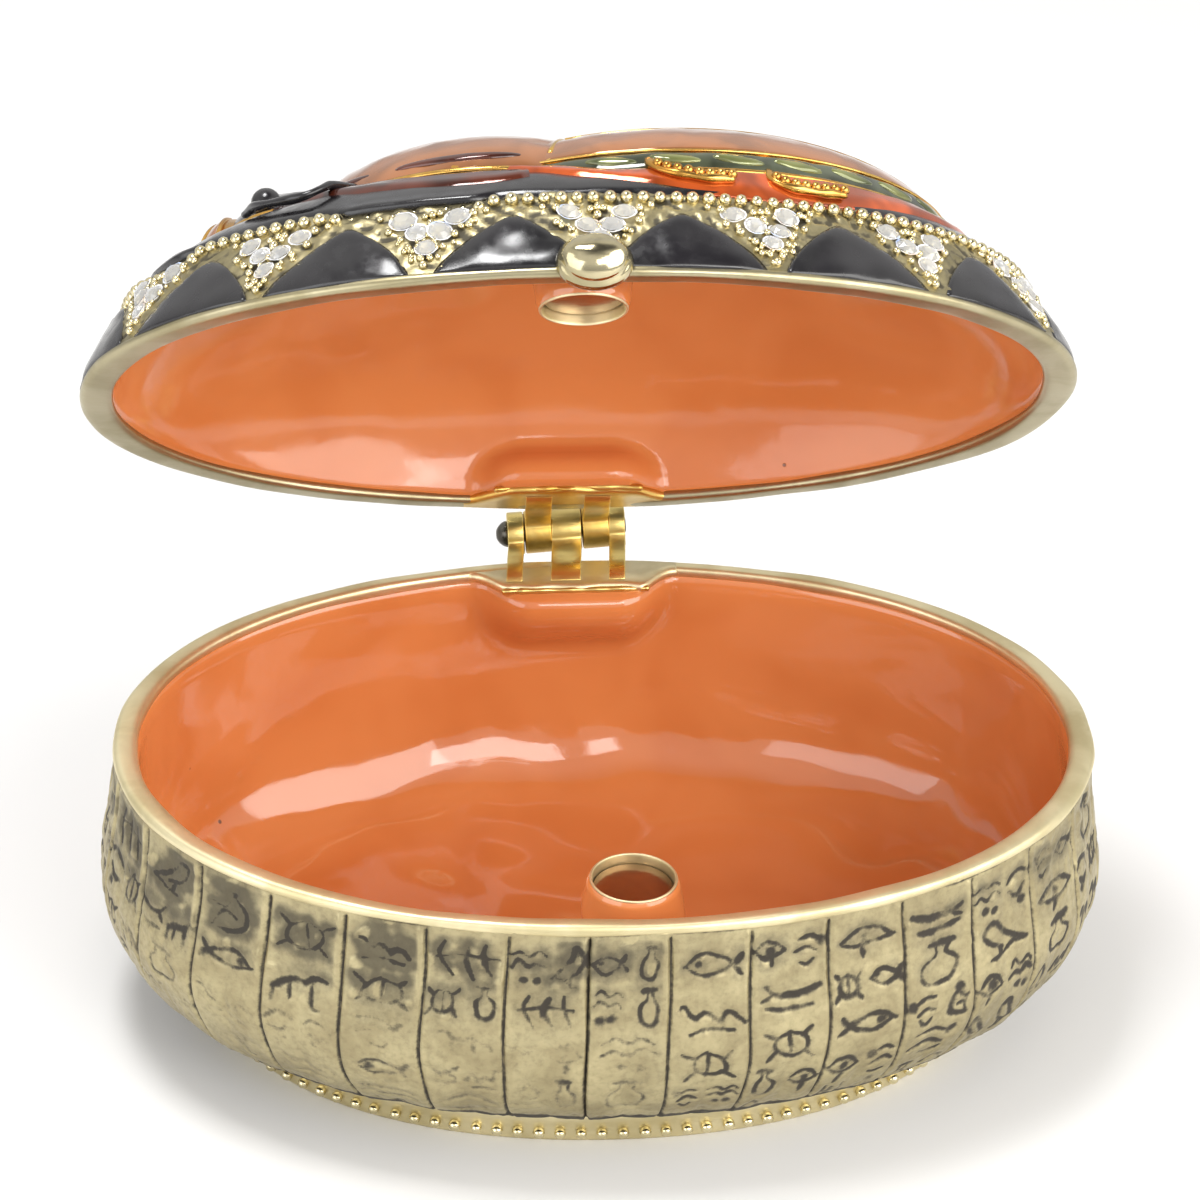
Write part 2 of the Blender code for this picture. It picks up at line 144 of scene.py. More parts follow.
LID_RIM = (
    (36.5, 1.0), (37.35, 0.74), (37.52, 0.55), (37.5, 0.25), (37.2, 0.0), (36.2, -0.02), (35.3, 0.0),
    (35.02, 0.2), (34.98, 0.6), (35.4, 1.0),
)
LID_BAND = (
    (37.4, 0.5), (37.0, 1.4), (36.2, 3.0), (35.1, 5.0), (34.1, 6.4), (33.4, 7.2), (32.4, 7.9),
)
LID_BAND_BACK = ((32.0, 7.0), (34.0, 4.4), (35.9, 1.4))
LEDGE = ((34.0, 6.75), (33.6, 7.25), (32.8, 7.95), (31.0, 9.2), (28.8, 10.4), (25.0, 11.6), (18.0, 13.6))
LEDGE_BACK = ((18.0, 13.2), (25.0, 11.0), (30.6, 8.6), (33.0, 6.6))
LID_LINING = (
    (35.25, 0.5), (34.98, 0.56), (34.88, 0.8), (34.8, 1.5), (33.8, 3.6), (32.2, 5.7),
    (29.7, 7.8), (26.0, 9.9), (20.5, 12.0), (13.0, 13.9), (6.0, 14.9), (0.0, 15.1),
)


def display(red, green, blue):
    """A screen colour, 0 to 255 a channel, as the linear colour that shaders take."""
    return tuple(((value / 255 + 0.055) / 1.055) ** 2.4 for value in (red, green, blue))


def share(value, low, high):
    """0 below low, 1 above high and a smooth S between them."""
    part = np.clip((value - low) / (high - low), 0.0, 1.0)
    return part * part * (3 - 2 * part)


def fall(value, low, high):
    """1 below low, 0 above high and a smooth S between them."""
    return share(-value, -high, -low)


def hump(value, middle, reach):
    """1 at the middle and fading to both sides: exp(-((value - middle) / reach)^2)."""
    return np.exp(-(((value - middle) / reach) ** 2))


def points_of(*axes):
    """Points from their coordinates, each a number or an array that spreads over the whole grid."""
    return np.stack(np.broadcast_arrays(*axes), -1)


def raised(grid, normal, lift):
    """Points moved along their normals."""
    return grid + lift[..., None] * normal


def turned(first, second, angle):
    """Two axes turned in their own plane, the first towards the second."""
    cosine, sine = np.cos(angle), np.sin(angle)
    return first * cosine + second * sine, second * cosine - first * sine


# Curves and grids


def rounded(profile, turns=3):
    """Cuts every corner at a quarter and three quarters of its sides, turns times; the ends stay."""
    path = np.array(profile, float)
    for _ in range(turns):
        near = 0.75 * path[:-1] + 0.25 * path[1:]
        far = 0.25 * path[:-1] + 0.75 * path[1:]
        cut = np.stack([near, far], 1).reshape(-1, path.shape[1])
        path = np.concatenate([path[:1], cut, path[-1:]])
    return path


def travelled(path):
    """Distance along a path to each of its points."""
    lengths = np.linalg.norm(np.diff(path, axis=0), axis=1)
    return np.concatenate([[0.0], np.cumsum(lengths)])


def spaced(path, count):
    """The same path as count points at even distances."""
    path = np.asarray(path, float)
    along = travelled(path)
    wanted = np.linspace(0.0, along[-1], count)
    return np.stack([np.interp(wanted, along, path[:, k]) for k in range(path.shape[1])], 1)


def oval(angle, radius):
    """X and Y on the oval: radius * |cos|^(2/n) and, narrowed, radius * |sin|^(2/n), signed."""
    power = 2 / SQUARENESS
    cosine, sine = np.cos(angle), np.sin(angle)
    x = radius * np.sign(cosine) * np.abs(cosine) ** power
    y = NARROWING * radius * np.sign(sine) * np.abs(sine) ** power
    return x, y


def turn_table():
    """Angles and, for each, the share of the way round the oval from the middle of its front."""
    angle = np.linspace(-math.pi / 2, TAU - math.pi / 2, 7201)
    points = np.stack(oval(angle, HALF_LENGTH), 1)
    along = travelled(points)
    return angle, along / along[-1], along[-1]


TURN_ANGLE, TURN_SHARE, ROUND_LENGTH = turn_table()


def angle_at(turn):
    """The angle that lies a share of the way round, at even distances along the oval."""
    whole = np.floor(turn)
    return np.interp(turn - whole, TURN_SHARE, TURN_ANGLE) + whole * TAU


def skin(path, turn, down, lift=0.0):
    """A point on the surface that path makes when carried round the oval.

    turn is the share of the way round, down the distance along the path, and lift is measured
    along the outward normal: the oval's own normal tilted as the path's normal is.
    """
    along = travelled(path)
    radius = np.interp(down, along, path[:, 0])
    height = np.interp(down, along, path[:, 1])
    slope = np.gradient(path, axis=0)
    slope = np.stack([np.interp(down, along, slope[:, k]) for k in (0, 1)], -1)
    slope /= np.linalg.norm(slope, axis=-1, keepdims=True)
    angle = angle_at(turn)
    x, y = oval(angle, radius)
    ahead, behind = oval(angle + 1e-3, radius), oval(angle - 1e-3, radius)
    tangent = points_of(ahead[0] - behind[0], ahead[1] - behind[1])
    tangent /= np.maximum(np.linalg.norm(tangent, axis=-1, keepdims=True), 1e-12)
    facing = outward_sign(path)
    level = -slope[..., 1] * facing
    normal = points_of(tangent[..., 1] * level, -tangent[..., 0] * level, slope[..., 0] * facing)
    return raised(points_of(x, y, height), normal, np.asarray(lift)), normal


def outward_sign(path):
    """1 when a path listed this way has its outside on the right of its downward run."""
    middle = len(path) // 2
    step = path[middle + 1] - path[middle - 1]
    return 1.0 if step[1] < 0 else -1.0


def steps(count):
    """Even shares of the way round, from 0 up to the last before 1."""
    return np.arange(count) / count


def around(path, columns):
    """A whole skin: one row for each point of path, one column for each step round the oval."""
    return skin(path, steps(columns)[None, :], travelled(path)[:, None])


def rings(centre, radius, height, count, start=0.0):
    """Level circles, one to a row: x + radius * cos, y + radius * sin and the row's height."""
    x, y = centre
    angle = steps(count) * TAU + start
    return points_of(x + radius * np.cos(angle), y + radius * np.sin(angle), height)


def swung(points):
    """Opens the lid: turns points about the hinge's axis by the angle that the frame rests at."""
    turn = np.array(Matrix.Rotation(LID_OPEN, 3, HINGE_WAY))
    centre = np.array([HINGE_X, AXIS_Y, AXIS_Z])
    return (np.asarray(points, float) - centre) @ turn.T + centre


def tilted(shape):
    """Tilts a shape of the hinge as its axis is: about the hinge's middle, right end up."""
    points, faces = shape
    turn = np.array(Matrix.Rotation(-HINGE_TILT, 3, "Y"))
    centre = np.array([HINGE_X, AXIS_Y, AXIS_Z])
    return (points - centre) @ turn.T + centre, faces


def unevenness(points, wavelength, seed, waves=20):
    """Smooth random swells, about -1 to 1: a sum of plane waves with random ways and phases."""
    random = np.random.default_rng(seed)
    ways = random.normal(size=(waves, 3))
    ways /= np.linalg.norm(ways, axis=1, keepdims=True)
    ways *= (TAU / wavelength * random.uniform(0.6, 1.5, waves))[:, None]
    phases = random.uniform(0, TAU, waves)
    total = np.zeros(points.shape[:-1])
    for way, phase in zip(ways, phases):
        total += np.sin(points @ way + phase)
    return total / math.sqrt(waves / 2) / 1.6


def grid_normals(grid, wrap):
    """Unit normals of a grid, from the cross product of its two directions."""
    down = np.gradient(grid, axis=0)
    if wrap:
        across = (np.roll(grid, -1, 1) - np.roll(grid, 1, 1)) / 2
    else:
        across = np.gradient(grid, axis=1)
    normal = np.cross(down, across)
    return normal / np.maximum(np.linalg.norm(normal, axis=-1, keepdims=True), 1e-9)


# Shapes: a shape is its points and a list of arrays of faces, each array with one corner count


def grid_faces(index):
    """Quads between neighbouring rows and columns of a grid of corner numbers."""
    return np.stack([index[:-1, :-1], index[:-1, 1:], index[1:, 1:], index[1:, :-1]], -1).reshape(-1, 4)


def ring_shape(grid, loop=True):
    """A closed shape from a grid that runs right round.

    With loop the last row joins the first. Without it each end row closes on its middle point.
    """
    rows, columns = grid.shape[:2]
    index = np.arange(rows * columns).reshape(rows, columns)
    index = np.hstack([index, index[:, :1]])
    points = grid.reshape(-1, 3)
    if loop:
        return points, [grid_faces(np.vstack([index, index[:1]]))]
    middles = np.stack([grid[0].mean(0), grid[-1].mean(0)])
    first, last = len(points), len(points) + 1
    top, bottom = index[0], index[-1]
    fans = [
        np.stack([np.full(columns, first), top[1:], top[:-1]], 1),
        np.stack([np.full(columns, last), bottom[:-1], bottom[1:]], 1),
    ]
    return np.concatenate([points, middles]), [grid_faces(index)] + fans


def prism_shape(grid):
    """A closed shape from a grid whose rows run right round, with one flat face over each end row."""
    rows, columns = grid.shape[:2]
    index = np.arange(rows * columns).reshape(rows, columns)
    sides = grid_faces(np.hstack([index, index[:, :1]]))
    return grid.reshape(-1, 3), [sides, index[:1, ::-1], index[-1:]]


def slab_shape(top, bottom):
    """A closed shape between two grids of the same size, with a strip round their edges."""
    rows, columns = top.shape[:2]
    count = rows * columns
    upper = np.arange(count).reshape(rows, columns)
    lower = upper + count
    edge = np.concatenate([upper[0, :-1], upper[:-1, -1], upper[-1, :0:-1], upper[:0:-1, 0]])
    after = np.roll(edge, -1)
    strip = np.stack([edge, edge + count, after + count, after], 1)
    points = np.concatenate([top.reshape(-1, 3), bottom.reshape(-1, 3)])
    return points, [grid_faces(upper), grid_faces(lower)[:, ::-1], strip]


def outward(shape):
    """The same closed shape, its faces turned round if its volume shows that they point inwards."""
    points, faces = shape
    if volume(points, faces) < 0:
        faces = [group[:, ::-1] for group in faces]
    return points, faces


def join(shapes):
    """Several closed shapes as one, each with its faces pointing out."""
    points, faces, start = [], [], 0
    for shape_points, shape_faces in map(outward, shapes):
        points.append(shape_points)
        faces += [group + start for group in shape_faces]
        start += len(shape_points)
    return np.concatenate(points), faces


def repeat(shape, places, axes, scales):
    """A small shape set at every place, on its own three axes and at its own size."""
    points, faces = shape
    moved = np.einsum("pk,nkj->npj", points, axes) * scales[:, None, None] + places[:, None, :]
    starts = (np.arange(len(places)) * len(points))[:, None, None]
    groups = [(group[None] + starts).reshape(-1, group.shape[1]) for group in faces]
    return moved.reshape(-1, 3), groups


def tube_shape(route, radius, sides=10, flatness=1.0):
    """A round bar along a route, with domed ends: circles on two normals carried along it."""
    route = np.asarray(route, float)
    radius = np.broadcast_to(radius, len(route)).astype(float)
    way = np.gradient(route, axis=0)
    way /= np.linalg.norm(way, axis=1, keepdims=True)
    up = np.array([0.0, 0.0, 1.0]) - way * way[:, 2:]
    up /= np.maximum(np.linalg.norm(up, axis=1, keepdims=True), 1e-6)
    side = np.cross(way, up)
    angle = (steps(sides) * TAU)[None, :, None]
    circle = np.cos(angle) * side[:, None] + flatness * np.sin(angle) * up[:, None]
    body = route[:, None] + radius[:, None, None] * circle
    start = route[0] - way[0] * radius[0] * 0.5 + 0.6 * radius[0] * circle[0]
    end = route[-1] + way[-1] * radius[-1] * 0.5 + 0.6 * radius[-1] * circle[-1]
    return ring_shape(np.concatenate([start[None], body, end[None]]), loop=False)


def volume(points, faces):
    """Signed volume inside a shape, positive when its faces point outwards."""
    total = 0.0
    for group in faces:
        corner = points[group]
        for k in range(1, group.shape[1] - 1):
            total += np.einsum("ij,ij->", corner[:, 0], np.cross(corner[:, k], corner[:, k + 1]))
    return total / 6


def smooth_route(route, count):
    """A smooth line through the points of a route: a Catmull-Rom curve, evenly spaced."""
    route = np.asarray(route, float)
    ends = np.concatenate([[2 * route[0] - route[1]], route, [2 * route[-1] - route[-2]]])
    t = np.linspace(0, 1, 24, endpoint=False)[:, None]
    runs = []
    for a, b, c, d in zip(ends, ends[1:], ends[2:], ends[3:]):
        square, cube = 2 * a - 5 * b + 4 * c - d, 3 * b - a - 3 * c + d
        runs.append(0.5 * (2 * b + (c - a) * t + square * t**2 + cube * t**3))
    return spaced(np.concatenate(runs + [route[-1:]]), count)


def add_object(name, data):
    """A new object in the scene with its mesh, camera or light."""
    obj = bpy.data.objects.new(name, data)
    bpy.context.scene.collection.objects.link(obj)
    return obj


def add_piece(name, body, look, shape, fields=None, flat=False, stands_for=()):
    """Makes a mesh object of a shape in its finish, swung open if the lid carries it.

    The object rides on its body, and stands for the solids of the frame that it covers.
    """
    points, faces = outward(shape)
    if body == "lid":
        points = swung(points)
    counts = np.concatenate([np.full(len(group), group.shape[1]) for group in faces])
    corners = np.concatenate([group.ravel() for group in faces])
    mesh = bpy.data.meshes.new(name)
    mesh.vertices.add(len(points))
    mesh.vertices.foreach_set("co", (points * MM).astype(np.float32).ravel())
    mesh.loops.add(len(corners))
    mesh.loops.foreach_set("vertex_index", corners.astype(np.int32))
    mesh.polygons.add(len(counts))
    mesh.polygons.foreach_set("loop_start", (np.cumsum(counts) - counts).astype(np.int32))
    mesh.update(calc_edges=True)
    mesh.validate()
    for field, values in (fields or {}).items():
        attribute = mesh.attributes.new(field, "FLOAT", "POINT")
        attribute.data.foreach_set("value", np.ravel(values).astype(np.float32))
    if flat:
        mesh.shade_flat()
    else:
        mesh.shade_smooth()
    mesh.materials.append(shared_finish(look))
    obj = add_object(name, mesh)
    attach(obj, body)
    if stands_for:
        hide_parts(*stands_for)


# Materials


def place(tree, kind, inputs=None, **settings):
    """Adds a node. Each input is either a value or another node's socket, which is then linked."""
    node = tree.nodes.new(kind)
    for name, value in settings.items():
        setattr(node, name, value)
    for name, value in (inputs or {}).items():
        if isinstance(value, bpy.types.NodeSocket):
            tree.links.new(value, node.inputs[name])
        else:
            node.inputs[name].default_value = value
    return node


def mix_colours(tree, factor, first, second):
    """The first colour where factor is 0, the second where it is 1."""
    return place(tree, "ShaderNodeMix", {0: factor, 6: first, 7: second}, data_type="RGBA").outputs[2]


def mix_values(tree, factor, first, second):
    """The first value where factor is 0, the second where it is 1."""
    return place(tree, "ShaderNodeMix", {0: factor, 2: first, 3: second}).outputs[0]


def maths(tree, operation, first, second):
    """Two values added, multiplied and so on, by the name of the operation."""
    return place(tree, "ShaderNodeMath", {0: first, 1: second}, operation=operation).outputs[0]


def between(tree, value, low, high, least=0.0, most=1.0):
    """A value taken smoothly from low..high to least..most."""
    inputs = {"Value": value, "From Min": low, "From Max": high, "To Min": least, "To Max": most}
    node = place(tree, "ShaderNodeMapRange", inputs, interpolation_type="SMOOTHSTEP")
    return node.outputs["Result"]


def cloud(tree, where, per_metre, detail=3.0, roughness=0.55, distortion=0.0):
    """Noise at a number of features to the metre."""
    inputs = {
        "Vector": where,
        "Scale": per_metre,
        "Detail": detail,
        "Roughness": roughness,
        "Distortion": distortion,
    }
    return place(tree, "ShaderNodeTexNoise", inputs).outputs["Fac"]


def effect(name, inputs, outputs):
    """An empty node group with its sockets, and the sockets of its two end nodes."""
    tree = bpy.data.node_groups.new(name, "ShaderNodeTree")
    kinds = {"colour": "NodeSocketColor", "value": "NodeSocketFloat"}
    for label, kind, default in inputs:
        socket = tree.interface.new_socket(label, in_out="INPUT", socket_type=kinds[kind])
        socket.default_value = (*default, 1.0) if kind == "colour" else default
    for label, kind in outputs:
        tree.interface.new_socket(label, in_out="OUTPUT", socket_type=kinds[kind])
    given = place(tree, "NodeGroupInput").outputs
    result = place(tree, "NodeGroupOutput").inputs
    return tree, given, result


def object_place(tree):
    """Where a point lies on its piece, in metres."""
    return place(tree, "ShaderNodeTexCoord").outputs["Object"]


def cast_patina():
    """Dark patina that fills the hollows of a casting and rubs thin on its high places, and painted shade
    where a mesh's fields ask for it.
    """
    tree, given, result = effect(
        "cast_patina",
        [
            ("Metal", "colour", (0.5, 0.4, 0.2)),
            ("Bright Metal", "colour", (0.7, 0.6, 0.4)),
            ("Patina", "colour", (0.03, 0.03, 0.03)),
            ("Hollow", "value", 0.0),
            ("Grime", "value", 0.0),
        ],
        [("Color", "colour"), ("Metallic", "value"), ("Roughness", "value"), ("Height", "value")],
    )
    where = object_place(tree)
    fine = cloud(tree, where, 1900, 4.0, 0.6)
    broad = cloud(tree, where, 260, 4.0, 0.6, 0.6)
    blotch = maths(tree, "SUBTRACT", broad, 0.5)
    ragged = maths(tree, "MULTIPLY", maths(tree, "SUBTRACT", fine, 0.5), 0.9)
    place_in = maths(tree, "ADD", given["Hollow"], ragged)
    filled = between(tree, maths(tree, "MULTIPLY", blotch, 0.5), -0.2, 0.2, 0.0, 0.18)
    dark = between(tree, maths(tree, "ADD", place_in, filled), 0.22, 0.95)
    mottle = maths(tree, "ADD", blotch, maths(tree, "MULTIPLY", ragged, 0.35))
    film = between(tree, maths(tree, "ADD", given["Grime"], mottle), 0.08, 1.15, 0.0, 0.8)
    covered = maths(tree, "MAXIMUM", dark, film)
    metal = mix_colours(tree, between(tree, broad, 0.3, 0.75), given["Metal"], given["Bright Metal"])
    speckled = mix_colours(tree, between(tree, fine, 0.4, 0.85, 0.0, 0.22), metal, given["Patina"])
    colour = mix_colours(tree, covered, speckled, given["Patina"])
    tree.links.new(colour, result["Color"])
    tree.links.new(mix_values(tree, covered, 1.0, 0.15), result["Metallic"])
    worn = between(tree, fine, 0.3, 0.75, 0.34, 0.46)
    tree.links.new(mix_values(tree, covered, worn, 0.65), result["Roughness"])
    tree.links.new(maths(tree, "ADD", fine, broad), result["Height"])
    return tree


def hand_polish():
    """Plated metal as a polishing wheel leaves it: faint swells, streaks and duller patches."""
    tree, given, result = effect(
        "hand_polish",
        [
            ("Bright", "colour", (0.8, 0.7, 0.5)),
            ("Dull", "colour", (0.6, 0.5, 0.3)),
            ("Least Roughness", "value", 0.18),
            ("Most Roughness", "value", 0.4),
        ],
        [("Color", "colour"), ("Roughness", "value"), ("Height", "value")],
    )
    where = object_place(tree)
    broad = cloud(tree, where, 160, 4.0, 0.55, 0.4)
    fine = cloud(tree, where, 1800, 3.0, 0.6)
    stretched = place(tree, "ShaderNodeMapping", {"Vector": where, "Scale": (0.25, 1.0, 3.0)})
    streaks = cloud(tree, stretched.outputs["Vector"], 2200, 2.0)
    patch = between(tree, broad, 0.35, 0.7)
    tree.links.new(mix_colours(tree, patch, given["Bright"], given["Dull"]), result["Color"])
    streaky = maths(tree, "MULTIPLY", between(tree, streaks, 0.3, 0.75), 0.5)
    dull = mix_values(tree, 0.5, patch, streaky)
    roughness = mix_values(tree, dull, given["Least Roughness"], given["Most Roughness"])
    tree.links.new(roughness, result["Roughness"])
    height = maths(tree, "ADD", maths(tree, "MULTIPLY", broad, 2.0), maths(tree, "MULTIPLY", fine, 0.25))
    tree.links.new(maths(tree, "ADD", height, maths(tree, "MULTIPLY", streaks, 0.15)), result["Height"])
    return tree


def poured_enamel():
    """Enamel that has flowed: slow swells in its face, a deeper tone where it pools, and specks."""
    tree, given, result = effect(
        "poured_enamel",
        [
            ("Face", "colour", (0.8, 0.2, 0.05)),
            ("Pool", "colour", (0.6, 0.15, 0.03)),
            ("Speck", "colour", (0.05, 0.03, 0.02)),
            ("Specks", "value", 0.5),
            ("Swell Size", "value", 90.0),
        ],
        [("Color", "colour"), ("Roughness", "value"), ("Height", "value")],
    )
    where = object_place(tree)
    swell = cloud(tree, where, given["Swell Size"], 2.0, 0.45, 0.5)
    fine = cloud(tree, where, 900, 2.0)
    pooled = mix_colours(tree, between(tree, swell, 0.35, 0.7), given["Face"], given["Pool"])
    cells = place(tree, "ShaderNodeTexVoronoi", {"Vector": where, "Scale": 230.0, "Randomness": 1.0})
    spot = between(tree, cells.outputs["Distance"], 0.028, 0.05, 1.0, 0.0)
    chosen = between(tree, cells.outputs["Color"], 0.72, 0.74)
    spots = maths(tree, "MULTIPLY", maths(tree, "MULTIPLY", spot, chosen), given["Specks"])
    tree.links.new(mix_colours(tree, spots, pooled, given["Speck"]), result["Color"])
    tree.links.new(between(tree, fine, 0.3, 0.8, 0.06, 0.13), result["Roughness"])
    rough = maths(tree, "MULTIPLY", fine, 0.04)
    bead = maths(tree, "MULTIPLY", spots, 0.12)
    tree.links.new(maths(tree, "ADD", maths(tree, "ADD", swell, rough), bead), result["Height"])
    return tree


EFFECTS = {}


def effect_node(tree, maker, inputs):
    """One of the shared effects, made once and placed in a material with its own values."""
    if maker not in EFFECTS:
        EFFECTS[maker] = maker()
    values = {label: (*value, 1.0) if isinstance(value, tuple) else value for label, value in inputs.items()}
    return place(tree, "ShaderNodeGroup", values, node_tree=EFFECTS[maker])


def finish(name, values):
    """A new material, its tree and its shader with plain values set on the shader's own sockets."""
    material = bpy.data.materials.new(name)
    material.use_nodes = True
    tree = material.node_tree
    shader = tree.nodes["Principled BSDF"]
    for label, value in values.items():
        shader.inputs[label].default_value = value
    return material, tree, shader


def bump(tree, shader, height, depth):
    """A bump of a depth in millimetres on the shader's normal."""
    node = place(tree, "ShaderNodeBump", {"Height": height, "Distance": depth * MM})
    tree.links.new(node.outputs["Normal"], shader.inputs["Normal"])


def dress(tree, shader, node, **sockets):
    """Leads an effect's outputs to the shader: each is named with the shader's socket that it feeds."""
    for output, socket in sockets.items():
        tree.links.new(node.outputs[output], shader.inputs[socket])


def antique_metal(name, metal, bright, patina, depth=0.05):
    """Cast metal with patina in its hollows, which the mesh marks in two fields, of hollows and of grime;
    these also carry painted shade.
    """
    material, tree, shader = finish(name, {"Specular IOR Level": 0.5})
    values = {"Metal": metal, "Bright Metal": bright, "Patina": patina}
    for label in ("Hollow", "Grime"):
        field = place(tree, "ShaderNodeAttribute", attribute_name=label.lower())
        values[label] = field.outputs["Fac"]
    node = effect_node(tree, cast_patina, values)
    dress(tree, shader, node, Color="Base Color", Metallic="Metallic", Roughness="Roughness")
    bump(tree, shader, node.outputs["Height"], depth)
    return material


def polished_metal(name, bright, dull, least, most, depth=0.03):
    """Plated metal between two tones and two roughnesses."""
    material, tree, shader = finish(name, {"Metallic": 1.0})
    values = {"Bright": bright, "Dull": dull, "Least Roughness": least, "Most Roughness": most}
    node = effect_node(tree, hand_polish, values)
    dress(tree, shader, node, Color="Base Color", Roughness="Roughness")
    bump(tree, shader, node.outputs["Height"], depth)
    return material


def enamel(name, face, pool, speck, specks=0.5, size=90.0, metallic=0.0, depth=0.12, coat=0.6, haze=1.0):
    """Fired enamel under a clear face, glossy or with a haze over it."""
    values = {"Metallic": metallic, "Coat Weight": coat, "Coat Roughness": 0.03 * haze**1.6, "IOR": 1.52}
    material, tree, shader = finish(name, values)
    values = {"Face": face, "Pool": pool, "Speck": speck, "Specks": specks, "Swell Size": size}
    node = effect_node(tree, poured_enamel, values)
    dress(tree, shader, node, Color="Base Color")
    tree.links.new(maths(tree, "MULTIPLY", node.outputs["Roughness"], haze), shader.inputs["Roughness"])
    bump(tree, shader, node.outputs["Height"], depth)
    return material


def cut_glass(name):
    """Clear crystal: plain transmission, so that the foil behind it shows."""
    values = {
        "Base Color": (1.0, 1.0, 1.0, 1.0),
        "Metallic": 0.0,
        "Roughness": 0.0,
        "IOR": 1.8,
        "Transmission Weight": 0.7,
    }
    return finish(name, values)[0]


def iridescent_foil(name):
    """Pale foil behind the stones, its tint drifting from blue through white to rose."""
    material, tree, shader = finish(name, {"Metallic": 0.0, "Roughness": 0.3})
    where = object_place(tree)
    drift = cloud(tree, where, 420, 1.0)
    ramp = place(tree, "ShaderNodeValToRGB", {"Fac": drift})
    blue, white, cream, rose = (205, 222, 255), (252, 252, 255), (255, 253, 250), (255, 232, 215)
    tones = ((0.3, blue), (0.42, white), (0.58, cream), (0.7, rose))
    stops = ramp.color_ramp.elements
    for _ in tones[2:]:
        stops.new(0.5)
    for stop, (position, tone) in zip(stops, tones):
        stop.position = position
        stop.color = (*display(*tone), 1.0)
    tree.links.new(ramp.outputs["Color"], shader.inputs["Base Color"])
    bump(tree, shader, cloud(tree, where, 2400, 1.0), 0.02)
    return material


# Sizes and colours that a user may change


def length(name, description, default):
    """A length in millimetres."""
    return FloatProperty(name=name, description=description, default=default, min=0.0)


def hue(name, description, red, green, blue):
    """A colour, its default given as it looks on a screen."""
    return FloatVectorProperty(
        name=name,
        description=description,
        subtype="COLOR",
        size=3,
        min=0.0,
        max=1.0,
        default=display(red, green, blue),
    )


class BoxSizes(bpy.types.PropertyGroup):
    """How the ornament is laid out. Lengths are in millimetres."""

    panels: IntProperty(name="Panels", description="Panels of signs round the bowl", default=33, min=6)
    sign_depth: length("Sign Depth", "Depth of the struck signs", 0.1)
    sign_width: length("Sign Width", "Width of a sign's stroke", 0.48)
    groove_depth: length("Groove Depth", "Depth of the groove between two panels", 0.3)
    hills: IntProperty(name="Hills", description="Black enamel hills round the lid", default=16, min=4)
    foot_bead: length("Foot Bead", "Radius of the beads round the foot", 0.46)
    lid_bead: length("Lid Bead", "Radius of the beads round the lid", 0.5)
    grain: length("Grain", "Radius of the small gold grains between the stones", 0.34)
    stone: length("Stone", "Radius of the larger stones", 0.86)
    wire_scale: FloatProperty(
        name="Wire Scale", description="Thickness of the gold wires between enamels", default=1.0, min=0.1
    )


class BoxColours(bpy.types.PropertyGroup):
    """The box's metals and enamels."""

    brass: hue("Antique Brass", "Metal of the cast walls", 164, 152, 118)
    bright_brass: hue("Rubbed Brass", "Cast metal where it is rubbed", 198, 186, 146)
    # The wall's painted shade also darkens towards this colour.
    patina: hue("Patina", "Dark patina in the hollows", 50, 44, 34)
    rim_gold: hue("Rim Gold", "Satin plate on rims, foot and beads", 234, 222, 182)
    dull_gold: hue("Dull Gold", "The same plate where it has dulled", 208, 195, 152)
    hinge_gold: hue("Hinge Gold", "Yellow plate of the hinge", 226, 198, 122)
    deep_gold: hue("Deep Gold", "The hinge's plate in its duller places", 202, 162, 78)
    orange: hue("Orange Enamel", "Lining", 212, 131, 75)
    deep_orange: hue("Deep Orange", "Lining where it pools", 202, 119, 64)
    black: hue("Black Enamel", "Hills and ledge of the lid", 30, 28, 31)
    red: hue("Red Enamel", "Margin of the wing cases", 206, 92, 38)
    amber: hue("Amber Enamel", "Back of the beetle", 178, 116, 72)
    green: hue("Green Enamel", "Band along the wing cases", 84, 90, 70)


def sizes():
    """The box's sizes, as they are set in the panel."""
    return bpy.context.scene.trinket_sizes


def paint(colour):
    """A colour of the box by its name, or by its name and a factor, or as it looks on a screen."""
    if isinstance(colour, tuple) and not isinstance(colour[0], str):
        return display(*colour)
    name, factor = (colour, 1.0) if isinstance(colour, str) else colour
    return tuple(min(value * factor, 1.0) for value in getattr(bpy.context.scene.trinket_colours, name))


